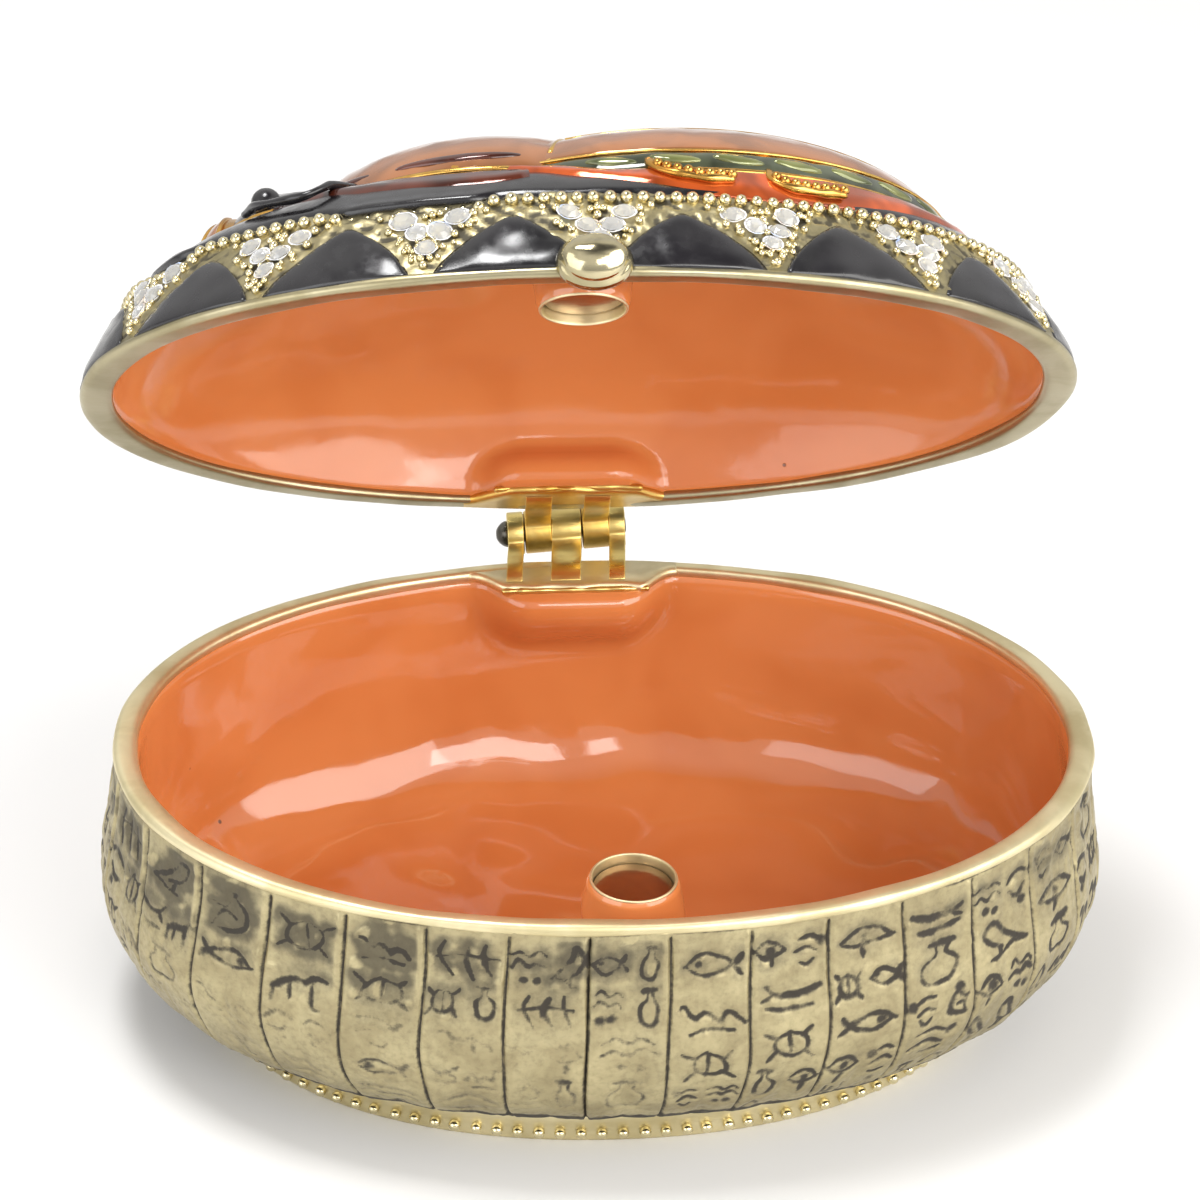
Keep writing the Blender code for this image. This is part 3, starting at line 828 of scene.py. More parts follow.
# Each finish: its maker, its colours, and the values in which it differs from the maker's own
LINING_ENAMEL = ("orange", "deep_orange", (70, 50, 40))
FINISH_MAKERS = {
    "antique_brass": (antique_metal, ("brass", "bright_brass", "patina"), {}),
    "antique_gold": (
        antique_metal, (("dull_gold", 0.5), ("dull_gold", 0.8), ("brass", 0.16)), {"depth": 0.03}
    ),
    "rim_gold": (polished_metal, ("rim_gold", "dull_gold"), {"least": 0.4, "most": 0.56}),
    # The rim gold darkened to 0.56 for the lid's rim: painted shade on the same satin plate as the bowl's
    # rim.
    "lid_rim_gold": (
        polished_metal, (("rim_gold", 0.56), ("dull_gold", 0.56)), {"least": 0.3, "most": 0.48}
    ),
    "bead_gold": (polished_metal, ("rim_gold", "dull_gold"), {"least": 0.14, "most": 0.3, "depth": 0.02}),
    # The rim gold darkened, its dull tone most, for the thumb knob: painted shade.
    "knob_gold": (polished_metal, (("rim_gold", 0.78), ("dull_gold", 0.6)), {"least": 0.1, "most": 0.24}),
    "hinge_gold": (polished_metal, ("hinge_gold", "deep_gold"), {"least": 0.3, "most": 0.46, "depth": 0.05}),
    # A lighter copy of the hinge gold for the bowl's leaf: painted highlight, standing in for the bright
    # reflections on its straps.
    "bright_hinge_gold": (
        polished_metal, ((228, 204, 128), ("hinge_gold", 0.8)), {"least": 0.24, "most": 0.48, "depth": 0.07}
    ),
    "scarab_gold": (polished_metal, ((238, 196, 110), (190, 136, 62)), {"least": 0.14, "most": 0.34}),
    "pin_steel": (polished_metal, ((132, 128, 118), (58, 54, 48)), {"least": 0.2, "most": 0.42}),
    "magnet_nickel": (polished_metal, ((176, 150, 128), (140, 112, 92)), {"least": 0.16, "most": 0.3}),
    "orange_enamel": (enamel, LINING_ENAMEL, {"specks": 0.8, "depth": 0.22}),
    "lid_orange": (enamel, LINING_ENAMEL, {"specks": 0.8, "depth": 0.22, "coat": 0.12, "haze": 1.5}),
    "black_enamel": (
        enamel, ("black", ("black", 0.5), "brass"), {"specks": 0.2, "size": 200.0, "coat": 0.35, "haze": 2.6}
    ),
    "red_enamel": (enamel, ("red", ("red", 0.45), "hinge_gold"), {"size": 260.0, "metallic": 0.35}),
    "amber_enamel": (
        enamel, ("amber", ("amber", 0.66), "hinge_gold"), {"specks": 0.6, "size": 240.0, "metallic": 0.4}
    ),
    "green_enamel": (enamel, ("green", ("green", 0.35), "hinge_gold"), {"size": 300.0, "metallic": 0.3}),
    "leaf_enamel": (
        enamel, ((130, 134, 80), (72, 80, 50), "hinge_gold"), {"specks": 0.6, "size": 300.0, "metallic": 0.3}
    ),
    "brown_enamel": (
        enamel, ((96, 42, 24), (48, 22, 16), "hinge_gold"), {"specks": 0.6, "size": 260.0, "metallic": 0.3}
    ),
    "crystal_glass": (cut_glass, (), {}),
    "crystal_foil": (iridescent_foil, (), {}),
}
FINISHES = {}


def shared_finish(name):
    """Each finish of the box, made once."""
    if name not in FINISHES:
        maker, colours, values = FINISH_MAKERS[name]
        FINISHES[name] = maker(name, *(paint(colour) for colour in colours), **values)
    return FINISHES[name]


# The bowl

# Rows down a surface, and columns round the oval or round one panel
PANEL_COLUMNS = 40
WALL_ROWS = 138
LINING_ROWS = 50
LINING_COLUMNS = 300
RIM_COLUMNS = 480
FOOT_COLUMNS = 400
BAND_COLUMNS = 800
LEDGE_COLUMNS = 480
# How far a groove lies before the middle of the front, in panels
GROOVE_BEFORE = 0.61
# Least and most height of a sign, and how often two stand side by side
SIGN_HEIGHTS = (3.0, 4.3)
PAIRED = 0.45
LINING_THICKNESS = 0.45
# The beads round the foot: half length of their oval, height, and their spacing in radii
FOOT_BEAD_LINE = 29.6
FOOT_BEAD_Z = 1.15
FOOT_BEAD_SPACING = 3.4

# The marks struck in the panels, each in a square from -1 to 1: strokes as a weight and the points that
# a smooth line runs through. They are plain marks of a die and stand for no writing.
SIGNS = (
    ((1.0, (-0.9, -0.6), (-0.35, -0.15), (0.1, 0.35), (0.3, 0.85), (0.65, 0.8), (0.8, 0.35), (0.55, -0.2),
      (0.0, -0.5)), (0.9, (0.25, -0.4), (0.2, -0.95), (0.55, -0.95)),
     (0.7, (-0.9, -0.6), (-0.3, -0.6), (0.0, -0.9))),
    ((1.5, (-0.9, -0.3), (-0.4, 0.1), (0.2, 0.05), (0.55, 0.45), (0.85, 0.3)),
     (0.8, (-0.9, -0.4), (-0.95, -0.9)), (0.8, (-0.35, 0.0), (-0.4, -0.75)),
     (0.9, (0.35, 0.0), (0.45, -0.85), (0.75, -0.85))),
    ((1.0, (-1.0, -0.3), (-0.65, 0.15), (-0.25, -0.3), (0.15, 0.15), (0.5, -0.1), (0.7, 0.45), (0.95, 0.4)),
     (0.8, (-0.7, -0.75), (0.0, -0.6), (0.7, -0.75))),
    ((1.7, (0.0, 0.75), (0.12, 0.62)),
     (1.1, (-0.05, 0.5), (-0.45, 0.05), (-0.5, -0.5), (-0.2, -0.85), (0.5, -0.85)),
     (0.8, (0.05, 0.4), (0.35, 0.05), (0.75, 0.1)), (0.9, (-0.1, -0.3), (0.35, -0.2), (0.5, -0.8))),
    ((0.8, (-0.25, 0.75), (-0.2, 0.4), (-0.6, 0.0), (-0.45, -0.7), (0.0, -0.85), (0.45, -0.7), (0.6, 0.0),
      (0.2, 0.4), (0.25, 0.75)), (1.2, (-0.4, 0.9), (0.4, 0.85))),
    ((1.0, (-0.9, 0.45), (-0.3, 0.8), (0.5, 0.6), (0.9, 0.15)),
     (1.2, (-0.6, -0.1), (0.0, -0.5), (0.7, -0.3)), (1.5, (-0.5, -0.8), (-0.3, -0.82))),
    ((1.2, (-0.95, 0.3), (-0.2, 0.05), (0.5, 0.1), (0.95, 0.5)), (0.8, (0.5, 0.1), (0.9, -0.2)),
     (1.1, (-0.7, -0.5), (0.0, -0.65), (0.75, -0.45))),
    ((0.9, (-0.95, 0.05), (-0.4, 0.5), (0.4, 0.5), (0.95, 0.0)),
     (0.8, (-0.95, 0.05), (-0.3, -0.3), (0.4, -0.25), (0.95, 0.0)), (1.6, (0.0, 0.12), (0.05, 0.0)),
     (0.9, (0.1, -0.3), (-0.1, -0.9))),
    ((0.8, (-0.95, 0.5), (-0.5, 0.75), (0.0, 0.5), (0.5, 0.75), (0.95, 0.5)),
     (0.9, (-0.95, 0.0), (-0.5, 0.25), (0.0, 0.0), (0.5, 0.25), (0.95, 0.0)),
     (1.3, (-0.6, -0.6), (-0.45, -0.65)), (1.3, (0.1, -0.6), (0.3, -0.55))),
    ((0.9, (0.0, 0.6), (-0.5, 0.3), (-0.55, -0.35), (0.0, -0.7), (0.55, -0.35), (0.5, 0.3), (0.0, 0.6)),
     (0.7, (0.0, 0.5), (0.05, -0.6)), (0.8, (-0.5, 0.3), (-0.9, 0.65)), (0.8, (0.5, 0.3), (0.9, 0.65)),
     (0.8, (-0.5, -0.4), (-0.85, -0.85)), (0.8, (0.5, -0.4), (0.85, -0.85))),
    ((0.9, (-0.8, -0.65), (0.0, -0.85), (0.8, -0.65)), (1.0, (-0.1, -0.7), (-0.2, 0.2), (0.1, 0.9)),
     (0.8, (0.1, 0.9), (0.7, 0.3), (0.8, -0.3), (-0.1, -0.4))),
    ((0.9, (-0.7, 0.9), (-0.6, 0.2), (-0.8, -0.9)), (1.1, (-0.1, 0.8), (0.05, 0.0), (-0.1, -0.9)),
     (0.9, (0.6, 0.9), (0.75, 0.1), (0.5, -0.9)), (0.7, (-0.9, 0.1), (0.0, 0.3), (0.9, 0.1))),
    ((0.9, (-0.9, 0.0), (-0.3, 0.45), (0.4, 0.25), (0.7, 0.0), (0.4, -0.25), (-0.3, -0.45), (-0.9, 0.0)),
     (1.1, (0.7, 0.0), (1.0, 0.45)), (1.1, (0.7, 0.0), (1.0, -0.4)), (1.4, (-0.5, 0.08), (-0.42, 0.05))),
    ((1.6, (-0.8, 0.5), (-0.62, 0.35), (-0.6, 0.2)), (0.8, (-0.55, 0.35), (0.1, 0.75), (0.8, 0.6)),
     (0.9, (-0.4, -0.2), (0.2, 0.15), (0.85, -0.1)), (0.8, (-0.3, -0.6), (0.1, -0.9), (0.5, -0.6))),
)


def sign_strokes(random):
    """One mark of the table, now and then mirrored, as smooth runs of points and their weights."""
    flip = random.choice((-1, 1))
    strokes = SIGNS[random.integers(len(SIGNS))]
    lean = random.uniform(-0.15, 0.15)
    runs = []
    for weight, *points in strokes:
        points = np.array(points) + random.normal(0, 0.05, (len(points), 2))
        points[:, 0] = flip * points[:, 0] + lean * points[:, 1]
        runs.append((smooth_route(points, 3 * len(points)), weight))
    return runs


def panel_signs(panel, width, height):
    """Segments (two ends and a width factor each) of the signs struck down one panel."""
    random = np.random.default_rng(700 + panel)
    segments = []
    top = 0.9
    while top < height - 2.2:
        tall = random.uniform(*SIGN_HEIGHTS)
        pair = random.random() < PAIRED
        for shift in (-0.25, 0.25) if pair else (0.0,):
            half_wide = width * (0.2 if pair else 0.37) * random.uniform(0.9, 1.1)
            tilt = random.uniform(-0.12, 0.12)
            for run, weight in sign_strokes(random):
                across = shift * width + run[:, 0] * half_wide
                down = top + tall * (0.5 + tilt * shift) - run[:, 1] * tall * 0.45
                points = np.stack([across, down], 1)
                taper = 0.75 + 0.6 * np.sin(math.pi * np.linspace(0.15, 0.95, len(points) - 1))
                factor = weight * taper * random.uniform(0.8, 1.2)
                segments.append(np.column_stack([points[:-1], points[1:], factor]))
        top += tall + random.uniform(0.0, 0.2)
    return np.concatenate(segments)


def nearest_stroke(across, down, segments):
    """Distance to the nearest stroke over that stroke's width factor."""
    nearest = np.full(np.broadcast(across, down).shape, 9.0)
    for x0, y0, x1, y1, weight in segments:
        run = (x1 - x0) ** 2 + (y1 - y0) ** 2 + 1e-9
        along = np.clip(((across - x0) * (x1 - x0) + (down - y0) * (y1 - y0)) / run, 0, 1)
        away = np.hypot(across - x0 - along * (x1 - x0), down - y0 - along * (y1 - y0))
        nearest = np.minimum(nearest, away / weight)
    return nearest


def struck_signs(lap, down, panels, width):
    """How far each point of a stretch lies in a sign, on its raised shoulder and within its reach."""
    away = np.full(np.broadcast(lap, down).shape, 9.0)
    for number, panel in enumerate(panels):
        columns = slice(number * PANEL_COLUMNS, (number + 1) * PANEL_COLUMNS + 1)
        across = (lap[:, columns] - panel - 0.5) * width
        away[:, columns] = nearest_stroke(across, down, panel_signs(panel, width, down[-1, 0]))
    stroke = sizes().sign_width
    sign = 1 - share(away, 0.0, 0.85 * stroke)
    return sign, hump(away, 1.1 * stroke, 0.45 * stroke), hump(away, 0.0, 1.7 * stroke)


def worn_share(x, y, z, patchy):
    """How far hands have rubbed the wall: low at the front left, and less so along the foot."""
    worn = fall(x, -6.0, 9.0) * fall(y, -12.0, 0.0) * fall(z, 12.5, 17.0)
    return np.maximum(worn, 0.75 * fall(z, 5.0, 8.0)) * np.clip(0.75 + 0.3 * patchy, 0.3, 0.9)


def wall_stretch(path, back, panels):
    """One stretch of the wall as a shape and its two fields, of hollows and of grime, each with painted
    shade.

    It is a grid over the wall's profile and the way round. A point is moved along the wall's
    normal by the signs and their shoulders, the groove between two panels with its fillets, the
    panel's slight pillow and slow unevenness. Patina lies in hollows and thickens upwards, most at
    the left, and is thin where the wall is worn. Painted shade darkens the wall's underside in
    colour only and grows deeper towards the bottom, where the wall faces down.
    """
    size = sizes()
    down = travelled(path)[:, None]
    long = down[-1, 0]
    width = ROUND_LENGTH / size.panels
    lap = np.linspace(panels[0], panels[-1] + 1, len(panels) * PANEL_COLUMNS + 1)[None, :]
    even = (lap - GROOVE_BEFORE) / size.panels
    turn = even - 0.05 / (2 * TAU) * np.sin(2 * TAU * even)
    smooth, normal = skin(path, turn, down)
    x, y, z = np.moveaxis(smooth, -1, 0)
    patchy = unevenness(smooth, 8.0, 13)
    pits = unevenness(smooth, 1.3, 12, 40)
    worn = worn_share(x, y, z, patchy)
    soot = share(z, 14.5, 20.5)
    left = fall(x, -20.0, 6.0) * fall(y, -10.0, 6.0)

    inside = share(down, 0.45, 0.8) * (1 - share(down, long - 1.3, long - 0.8))
    sign, shoulder, reach = (mark * inside for mark in struck_signs(lap, down, panels, width))
    edge = (lap - np.round(lap)) * width + 0.07 * np.sin(down * 0.55 + np.round(lap) % size.panels * 2.1)
    groove = hump(edge, 0.0, 0.14) * share(down, 0.15, 0.6)
    fillet = hump(edge, -0.42, 0.2) * share(down, 0.2, 0.6) * (1 - share(down, 4.5, 9.0))
    fillet += 0.25 * hump(edge, 0.42, 0.2)
    pillow = 0.13 * (1 - (2 * edge / width) ** 4)
    nodules = share(unevenness(smooth, 2.0, 16, 30), 0.75, 1.25) * share(z, 11.0, 17.0)
    top_line = hump(down, 0.12, 0.12) * share(patchy + 0.2 * pits, -0.7, 0.4)
    foot_line = share(down, long - 0.8, long - 0.35)

    lift = -size.sign_depth * sign * (1 - 0.6 * worn) + 0.02 * shoulder * (1 - 0.3 * worn)
    lift += 0.11 * fillet - size.groove_depth * groove - 0.1 * top_line - 0.22 * foot_line
    lift += pillow - 0.13 + 0.06 * unevenness(smooth, 4.5, 11) + 0.008 * pits
    lift += 0.03 * unevenness(smooth, 2.3, 14, 30) * inside * soot + 0.07 * nodules * (1 - sign)

    inked = 0.72 + 0.45 * share(unevenness(smooth, 2.6, 15), -0.8, 0.5)
    hollow = sign * inked * (1 - 0.8 * worn) + groove * 1.05 - 0.3 * fillet - 0.1 * shoulder
    # Painted shade: the wall's underside, from the turn under its swell down to the foot, darkened in colour
    # only.
    painted_underside_shade = 0.9 * share(down, long - 5.9, long - 5.1)
    hollow = np.maximum(hollow, np.maximum(0.85 * top_line, np.maximum(painted_underside_shade, foot_line)))
    dusk = soot * left * share(patchy, -1.1, 0.3)
    grime = reach * (0.3 + 0.75 * soot * (0.4 + 0.6 * left) * (1 + 0.4 * pits)) * (1 - worn)
    grime += 0.12 * soot + 0.4 * dusk * (1 + 0.5 * pits) + 0.2 * left + 0.12 * patchy
    # 0.35 * fall(z, 3.0, 7.0) is painted shade, darker towards the bottom where the wall faces down; the
    # rest lightens the grime on fillets and nodules.
    grime += 0.35 * fall(z, 3.0, 7.0) - (0.45 + 0.5 * dusk) * fillet - 0.5 * nodules

    inner = skin(back, turn, travelled(back)[:, None])[0]
    fields = {"hollow": padded(np.clip(hollow, 0, 1), inner), "grime": padded(grime, inner)}
    return wall_shape(raised(smooth, normal, lift), inner), fields


def padded(values, back):
    """A field's values on the face of a shape, and zeros after them for the points of its back."""
    return np.concatenate([values.ravel(), np.zeros(back[..., 0].size)])


def build_wall():
    """The bowl's cast wall, in three stretches that meet in grooves, with signs in every panel."""
    path = spaced(rounded(WALL), WALL_ROWS)
    back = spaced(rounded(WALL_BACK), 8)
    thirds = [round(sizes().panels * part / 3) for part in range(4)]
    for number, (first, last) in enumerate(zip(thirds, thirds[1:]), 1):
        shape, fields = wall_stretch(path, back, range(first, last))
        covers = ("base_bowl",) if number == 1 else ()
        add_piece(
            f"bowl_wall_{number}", "base", "antique_brass", shape, fields, stands_for=covers
        )


def wall_shape(outer, inner):
    """Closes a stretch of wall: outer grid downwards, inner grid back up, and a face at each end."""
    rows, columns = outer.shape[:2]
    index = np.arange(rows * columns).reshape(rows, columns)
    behind = np.arange(inner.shape[0] * columns).reshape(-1, columns) + rows * columns
    whole = np.vstack([index, behind, index[:1]])
    ends = [whole[:-1, 0][None], whole[-2::-1, -1][None]]
    points = np.concatenate([outer.reshape(-1, 3), inner.reshape(-1, 3)])
    return points, [grid_faces(whole)] + ends


def rim_ring(profile, rim_height, seed):
    """A rim: its closed profile carried round and a little uneven."""
    path = spaced(rounded(profile + profile[:1], 2), 31)[:-1]
    grid, normal = around(path, RIM_COLUMNS)
    grid = raised(grid, normal, 0.05 * unevenness(grid, 9.0, seed))
    grid[..., 2] += rim_height
    return grid


def build_bowl_rim():
    """The bowl's satin gold rim."""
    grid = rim_ring(RIM, 0.0, 21)
    add_piece("bowl_rim", "base", "rim_gold", ring_shape(grid))


def build_foot():
    """The flange under the wall and the underside, a shallow dish inside the ring it stands on."""
    path = rounded(FOOT, 2)
    path = np.concatenate([spaced(path[:-4], 34), spaced(path[-4:], 14)[1:]])
    inside = np.array([(0.0, 1.3), (22.0, 1.35), (28.2, 2.2)])
    path = np.concatenate([spaced(inside, 6), path])
    grid = around(path, FOOT_COLUMNS)[0]
    from_middle = np.hypot(grid[..., 0], grid[..., 1] / NARROWING)
    under = fall(grid[..., 2], 0.2, 1.2) * fall(from_middle, 27.0, 28.2)
    grid[..., 2] += 0.08 * unevenness(grid, 6.0, 31) * under
    add_piece("bowl_foot", "base", "rim_gold", ring_shape(grid, loop=False))


def ball(sides=10, bands=6):
    """A ball of a few dozen faces, radius 1."""
    up = np.linspace(-math.pi / 2, math.pi / 2, bands + 1)[1:-1, None]
    points, faces = ring_shape(rings((0, 0), np.cos(up), np.sin(up), sides), loop=False)
    points[-2:] = ((0, 0, -1), (0, 0, 1))
    return points, faces


def upright_axes(normal):
    """Three axes for each normal, the third along it."""
    third = normal / np.linalg.norm(normal, axis=1, keepdims=True)
    first = np.cross((0.0, 0.0, 1.0), third)
    first /= np.maximum(np.linalg.norm(first, axis=1, keepdims=True), 1e-9)
    return np.stack([first, np.cross(third, first), third], 1)


def build_foot_beads():
    """The row of beads round the foot, each more than half sunk in the flange."""
    size = sizes()
    path = spaced(rounded(FOOT, 2), 90)
    count = round(ROUND_LENGTH * FOOT_BEAD_LINE / HALF_LENGTH / (FOOT_BEAD_SPACING * size.foot_bead))
    random = np.random.default_rng(41)
    turn = (np.arange(count) + random.normal(0, 0.03, count)) / count
    off_line = np.abs(path[:, 1] - FOOT_BEAD_Z) + 9 * (path[:, 0] < 29.5)
    down = travelled(path)[np.argmin(off_line)]
    place_at, normal = skin(path, turn, np.full(count, down), -0.2)
    radii = size.foot_bead * random.uniform(0.93, 1.05, count)
    shape = repeat(ball(), place_at, upright_axes(normal), radii)
    add_piece("foot_beads", "base", "bead_gold", shape)


def soft_least(first, second, reach):
    """The smaller of two values, blended where they are within reach of each other."""
    near = np.clip(0.5 + 0.5 * (second - first) / reach, 0, 1)
    return second + (first - second) * near - reach * near * (1 - near)


def seat_front(x, below_rim, tall):
    """Y of the hinge boss's face: foremost under the rim.

    It falls back with the square of the way past its sides and the power 1.8 of the way down.
    """
    side = np.maximum(np.abs(x - HINGE_X) - SEAT_HALF + 2.4, 0.0)
    under = np.maximum(below_rim - 1.4, 0.0)
    over = np.maximum(1.0 - below_rim, 0.0)
    return SEAT_INNER_Y + 0.24 * side**2 + 4.6 * (under / tall) ** 1.8 + 0.5 * over**2


def lining_shape(profile, side, rim_height, seed, boss_depth):
    """A lining: the inner profile down to its pole and a coarser one back behind it.

    The inner face swells a little, and is drawn towards the front over the hinge boss by the
    soft minimum of its own Y and the boss's.
    """
    path = spaced(rounded(profile), LINING_ROWS)
    grid = around(path, LINING_COLUMNS)[0][:-1]
    deep = travelled(path)[:-1, None]
    settled = 0.25 * share(deep, 0.5, 4.0) + 0.75 * share(deep, 7.0, 15.0)
    normal = grid_normals(grid, True)
    inwards = np.sign(normal[30, 0, 1])
    swell = 0.2 * unevenness(grid, 13.0, seed) + 0.05 * unevenness(grid, 6.0, seed + 1)
    grid = raised(grid, normal, inwards * settled * swell)
    below_rim = np.abs(grid[..., 2] - profile[0][1])
    boss = seat_front(grid[..., 0], below_rim, boss_depth)
    behind = share(grid[..., 1], 8.0, 14.0)
    pulled = soft_least(grid[..., 1], boss, 1.8)
    grid[..., 1] += np.minimum(pulled - grid[..., 1], 0.0) * behind
    thick = LINING_THICKNESS
    outer = np.array([(r + thick * (r > 0.1), z + side * thick * 0.9) for r, z in profile[::-1]])
    outer[-1] = (profile[0][0] + thick, profile[0][1])
    back = around(spaced(rounded(outer, 2), 16)[1:], LINING_COLUMNS)[0]
    whole = np.concatenate([grid, back])
    whole[..., 2] += rim_height
    return whole


def build_bowl_lining():
    """The orange enamel inside the bowl."""
    grid = lining_shape(LINING, -1, 0.0, 51, 5.0)
    add_piece("bowl_lining", "base", "orange_enamel", pole_ring(grid))


def pole_ring(grid):
    """Closes a lining: its two runs meet at the rim, and each ends in a fan at the middle."""
    half = LINING_ROWS - 1
    inner, outer = grid[:half][::-1], grid[half:][::-1]
    return ring_shape(np.concatenate([inner, outer]), loop=False)


def cup_top(side):
    """Height of a cup's lip: side is -1 for the bowl's, which looks up, and 1 for the lid's."""
    return RIM_Z - BASE_CUP_BELOW_RIM if side < 0 else LID_Z + LID_CUP_BELOW_RIM


def cup_ring(x, side):
    """The bright lip of a magnet cup: a small profile turned about the cup's own axis."""
    top = cup_top(side)
    profile = np.array(
        [(3.0, 2.2), (3.0, 0.14), (3.05, 0.02), (3.12, 0.0), (3.2, 0.03), (3.24, 0.14), (3.26, 2.2)]
    )
    path = rounded(profile, 2)
    return ring_shape(rings((x, CUP_Y), path[:, :1], top + side * path[:, 1:], 72))


def cup_post(x, side, rim_height, depth, lining):
    """The enamelled post that carries a cup.

    Rings of the post, from its lip to its foot, spread a little, then slide towards the wall and
    shrink as they go, so that it grows out of the wall like a soft bracket.
    """
    t = np.linspace(0, 1, 26)[:, None]
    lip = np.clip(t / 0.06, 0, 1)
    radius = (3.42 - 0.2 * (1 - lip) ** 2 + 0.4 * share(t, 0.0, 0.4)) * (1 - 0.75 * share(t, 0.4, 1.0))
    centre_y = CUP_Y - 5.6 * share(t, 0.25, 1.05)
    height = cup_top(side) + side * (0.14 + t * depth)
    grid = rings((x, centre_y), radius, height, 64)
    table = np.array(lining)
    order = np.argsort(table[:, 1])
    level = height - rim_height if side > 0 else height
    inside = np.interp(level, table[order, 1], table[order, 0])
    grid[..., 1] = np.maximum(grid[..., 1], -NARROWING * inside - 0.3)
    deep = np.array([[CUP_HOLE_DEPTH], [0.1]])
    well = rings((x, CUP_Y), CUP_HOLE_R, cup_top(side) + side * deep, 64)
    return ring_shape(np.concatenate([well, grid]), loop=False)


def build_cups():
    """The magnet cups of bowl and lid: an enamelled post and a gold lip each."""
    cups = (
        ("bowl", "base", BASE_CUP_X, -1, RIM_Z, 6.5, LINING),
        ("lid", "lid", LID_CUP_X, 1, LID_Z, 10.5, LID_LINING),
    )
    for name, body, x, side, rim, depth, lining in cups:
        post = cup_post(x, side, rim, depth, lining)
        add_piece(f"{name}_cup_post", body, "orange_enamel", post)
        add_piece(f"{name}_cup_lip", body, "rim_gold", cup_ring(x, side))


# The hinge


def knuckle_outline(side, rim_height):
    """Outline in Y and Z of a strap that lies on the rim and runs into its barrel."""
    near = rim_height - side * 0.13
    far = near + side * STRAP_HEIGHT
    top, bottom = max(near, far), min(near, far)
    upper = math.asin((top - AXIS_Z) / BARREL_R)
    lower = math.asin((bottom - AXIS_Z) / BARREL_R)
    angle = np.linspace(math.pi - upper, -math.pi - lower, 34)
    barrel = np.stack([AXIS_Y + BARREL_R * np.cos(angle), AXIS_Z + BARREL_R * np.sin(angle)], 1)
    inner, outer = LEAF_INNER_Y + 0.5, LEAF_OUTER_Y + 0.8
    return np.concatenate([[(outer, bottom), (inner, bottom), (inner, top), (outer, top)], barrel])


def extruded(outline, start, end, edge):
    """An outline carried along X, drawn in by a quarter circle at both ends so that its edges are round."""
    after = np.roll(outline, -1, 0) - np.roll(outline, 1, 0)
    after /= np.linalg.norm(after, axis=1, keepdims=True)
    inward = np.stack([after[:, 1], -after[:, 0]], 1)
    middle = outline.mean(0)
    if ((middle - outline) * inward).sum() < 0:
        inward = -inward
    turn = np.linspace(0, math.pi / 2, 5)
    along, drawn_in = edge * (1 - np.cos(turn)), edge * (1 - np.sin(turn))
    x = np.concatenate([start + along, end - along[::-1]])
    offset = np.concatenate([drawn_in, drawn_in[::-1]])
    y, z = np.moveaxis(outline + inward * offset[:, None, None], -1, 0)
    return prism_shape(points_of(x[:, None], y, z))


def knuckle_spans(side):
    """Start and end along X of each knuckle of one leaf; they all but touch."""
    inner = MIDDLE_KNUCKLE / 2 + KNUCKLE_GAP / 2 - 0.03
    if side < 0:
        ends = HINGE_HALF - OUTER_KNUCKLE - KNUCKLE_GAP / 2 + 0.03
        return ((-HINGE_HALF + 0.1, -ends), (-inner, inner), (ends, HINGE_HALF - 0.1))
    far = inner + LID_KNUCKLE + KNUCKLE_GAP
    return ((-far, -inner - 0.06), (inner + 0.06, far))


def platform_shape(side, rim_height, seed):
    """The plate the straps lie on: it fills the rim out inwards, and tapers away at both ends.

    Each row is a strip across the plate with a rounded front edge; the front line is uneven.
    """
    x = np.linspace(-PLATE_REACH, PLATE_REACH, 90)[:, None]
    taper = share(np.abs(x), SEAT_HALF - 0.9, PLATE_REACH)
    wall_y = NARROWING * (HALF_LENGTH**SQUARENESS - np.abs(x + HINGE_X) ** SQUARENESS) ** (1 / SQUARENESS)
    rough = unevenness(points_of(x, 0.0, 0.0), 3.4, seed)
    front = LEAF_INNER_Y - 0.35 + 0.22 * rough * (1 - taper)
    front = front + (wall_y - 1.6 - front) * taper
    back = wall_y - 0.45
    arc = np.linspace(-math.pi / 2, math.pi / 2, 9)
    half = PLATE_HALF_HEIGHT
    y = np.hstack([front + half - half * np.cos(arc), back, back])
    level = np.concatenate([-half - half * np.sin(arc), [-2 * half, 0.0]])
    return prism_shape(points_of(x + HINGE_X, y, rim_height - side * (level + 0.04 - 0.05 * taper)))


def solder_shape(side, rim_height, seed):
    """A bright uneven bead of solder along the plate's front edge."""
    x = np.linspace(-SEAT_HALF + 0.1, SEAT_HALF - 0.1, 60)
    rough = unevenness(points_of(x, 0.0, 0.0), 2.4, seed)
    height = rim_height + side * (PLATE_HALF_HEIGHT + 0.1 * rough)
    route = points_of(x + HINGE_X, LEAF_INNER_Y - 0.3 + 0.12 * rough, height)
    return tube_shape(route, 0.26 + 0.09 * np.roll(rough, 7), 8)


def leaf_shape(side, rim_height, seed):
    """A leaf: knuckles whose straps lie flat on the rim and twist up to the tilted barrel, and solder."""
    outline = knuckle_outline(side, rim_height)
    knuckles = [
        extruded(outline, HINGE_X + start, HINGE_X + end, STRAP_EDGE) for start, end in knuckle_spans(side)
    ]
    for points, _ in knuckles:
        points[:, 0] += 0.1 * np.minimum(points[:, 1] - AXIS_Y + 0.4 * BARREL_R, 0.0) * (side < 0)
        free = share(points[:, 1], LEAF_OUTER_Y + 0.8, AXIS_Y - 1.2 * BARREL_R)
        points += free[:, None] * (tilted((points, None))[0] - points)
    return join(knuckles + [solder_shape(side, rim_height, seed)])


